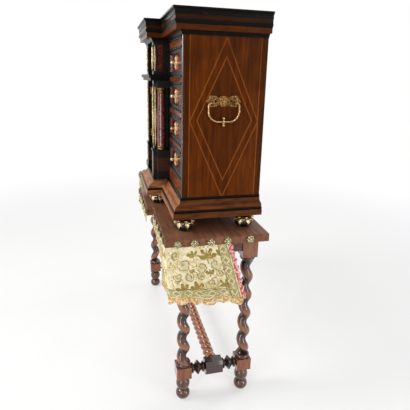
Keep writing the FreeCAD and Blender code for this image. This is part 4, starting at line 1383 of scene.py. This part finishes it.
def mostOf(pairs):
    first, second = pairs[0]
    for one, other in pairs[1:]:
        first = first.most(one)
        second = second.most(other)
    return first, second


def chainShare(across, along, spot):
    # 1 on the outlines of a chain of lozenges
    centre, half, pitch, tall = spot
    return abs(across - centre) / half + abs(along % pitch - pitch / 2) / tall


def clothFinish(look):
    # cream ground, mirrored scrolls and fans in silk, galloon beside the slanted edge and along the hem
    material, where = startFinish("embroideredCloth")
    cut = where.node("UVMap", {"uv_map": "cut"}, {})
    edge = where.node("UVMap", {"uv_map": "edge"}, {})
    u, v = cut.parts("XY")
    e, h = edge.parts("XY")
    sway = look["sway"]
    a = abs((clothLook["endTop"] - u) % look["repeat"] - look["axis"])
    a = a + (cut.noise(66.0, 2.0) * sway - sway / 2)
    down = v * look["tall"] + (cut.noise(51.0, 2.0) * sway - sway / 2)
    lines, wash = mostOf([scrollMask(a, down, spot, look["line"]) for spot in look["scrolls"]])
    fill, rim = mostOf([fanMask(a, down, spot) for spot in look["fans"]])
    tone = cut.noise(110.0, 3.0)
    lines = lines * (cut.noise(84.0, 2.0).step(0.36, 0.52) * 0.6 + 0.4)
    spray = cut.noise(58.0, 1.5, 0.5, 1.6).line(0.5, 0.034, 0.016)
    spray = spray * (cut.noise(15.0, 2.0).step(0.42, 0.58) * 0.7 + 0.2)
    ground = cut.noise(26.0, 4.0).step(0.42, 0.72).tint(look["ground"], look["shade"])
    ground = spray.tint(ground, tone.step(0.4, 0.6).tint(look["olive"], look["gold"]))
    silk = tone.step(0.48, 0.70).tint(look["olive"], look["gold"])
    colour = fill.most(wash * 0.32).tint(ground, silk)
    colour = (lines.most(rim) * 0.85).tint(colour, tone.step(0.36, 0.6).tint(look["dark"], look["olive"]))
    # galloon bands of lozenges between dark edges
    near, far = look["slant"]
    low, high = look["foot"]
    slant = e.within(near, far, 0.0006)
    foot = h.within(low, high, 0.0006) * e.step(near, near + 0.004)
    footOnly = foot * (1 - slant)
    band = slant.most(foot)
    loose = cut.noise(120.0, 2.0) * 0.9 - 0.45
    shares = [chainShare(e, v, look["slantLozenge"]) + loose, chainShare(h, u, look["footLozenge"]) + loose]

    def onBands(masks):
        return (masks[0] * slant).most(masks[1] * footOnly)

    inside = onBands([share.step(1.0, 0.94) for share in shares])
    ringed = onBands([share.line(0.78, 0.12, 0.05) for share in shares])
    heart = onBands([share.step(0.42, 0.34) for share in shares])
    fleck = cut.noise(190.0, 2.0).step(0.45, 0.6)
    colour = (band * 0.9).tint(colour, fleck.tint(look["galloon"], look["shade"]))
    colour = (inside * 0.9).tint(colour, fleck.tint(look["olive"], look["gold"]))
    colour = (ringed * (0.9 - fleck * 0.5)).tint(colour, look["ground"])
    colour = (heart * 0.8).tint(colour, look["blue"])
    borders = e.line(near, 0.0016, 0.0006).most(e.line(far, 0.0018, 0.0006))
    borders = borders.most(h.line(high, 0.0014, 0.0006) * e.step(near + 0.004, near + 0.008))
    colour = (borders * (fleck * 0.35 + 0.4)).tint(colour, look["dark"])
    weave = u.waves(look["thread"]) * v.waves(look["thread"])
    raised = lines.most(fill).most(band)
    return closeFinish(
        material, colour, 0.85 - lines * 0.3, specular=0.15,
        relief=(weave * 0.1 + raised * 0.6 + ringed * 0.3, 0.0008, 0.6),
        more={"Sheen Weight": 0.1, "Sheen Roughness": 0.5})


def trimFinish(name, tones, trim):
    # looped silk trim, with painted shade along its top edge where it tucks under the cloth
    main, pale, deep = tones
    material, where = startFinish(name)
    cut = where.node("UVMap", {"uv_map": "cut"}, {})
    u, v = cut.parts("XY")
    loops = u.waves(trim["loop"])
    rows = v.waves(trim["row"])
    mottle = cut.noise(95.0, 3.0)
    colour = mottle.step(0.44, 0.58).tint(main, pale)
    # painted shade along the top edge, under the cloth's hem
    colour = (v.step(0.004, 0.0) * 0.6).tint(colour, deep)
    colour = ((loops * rows).step(0.2, 0.8) * 0.55).tint(colour, deep)
    return closeFinish(
        material, colour, mottle * 0.2 + 0.65, specular=0.25,
        relief=(loops * 0.4 + rows * 0.4, 0.0006, 0.5), more={"Sheen Weight": 0.1})


def hangCloth(look, trim):
    right = [makeCloth(look), makeHemTrim(look, trim), makeEdgeTrim(look, trim)]
    left = [mirrorCopy(piece) for piece in right]
    strip = makeBreakStrip(look)
    cloths, hems, edges = zip(right, left)
    finishes = [
        (clothFinish(embroideryLook), (*cloths, strip)),
        (trimFinish("ochreTrim", trim["ochre"], trim), hems),
        (trimFinish("pinkTrim", trim["pink"], trim), edges),
    ]
    for material, pieces in finishes:
        for piece in pieces:
            finishPiece(piece, material)
    for piece in (*cloths, strip):
        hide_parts("valance_cloth")
    for cloth, *trims in (right, left):
        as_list(trims)


hangCloth(clothLook, trimLook)
print("cloth hung")
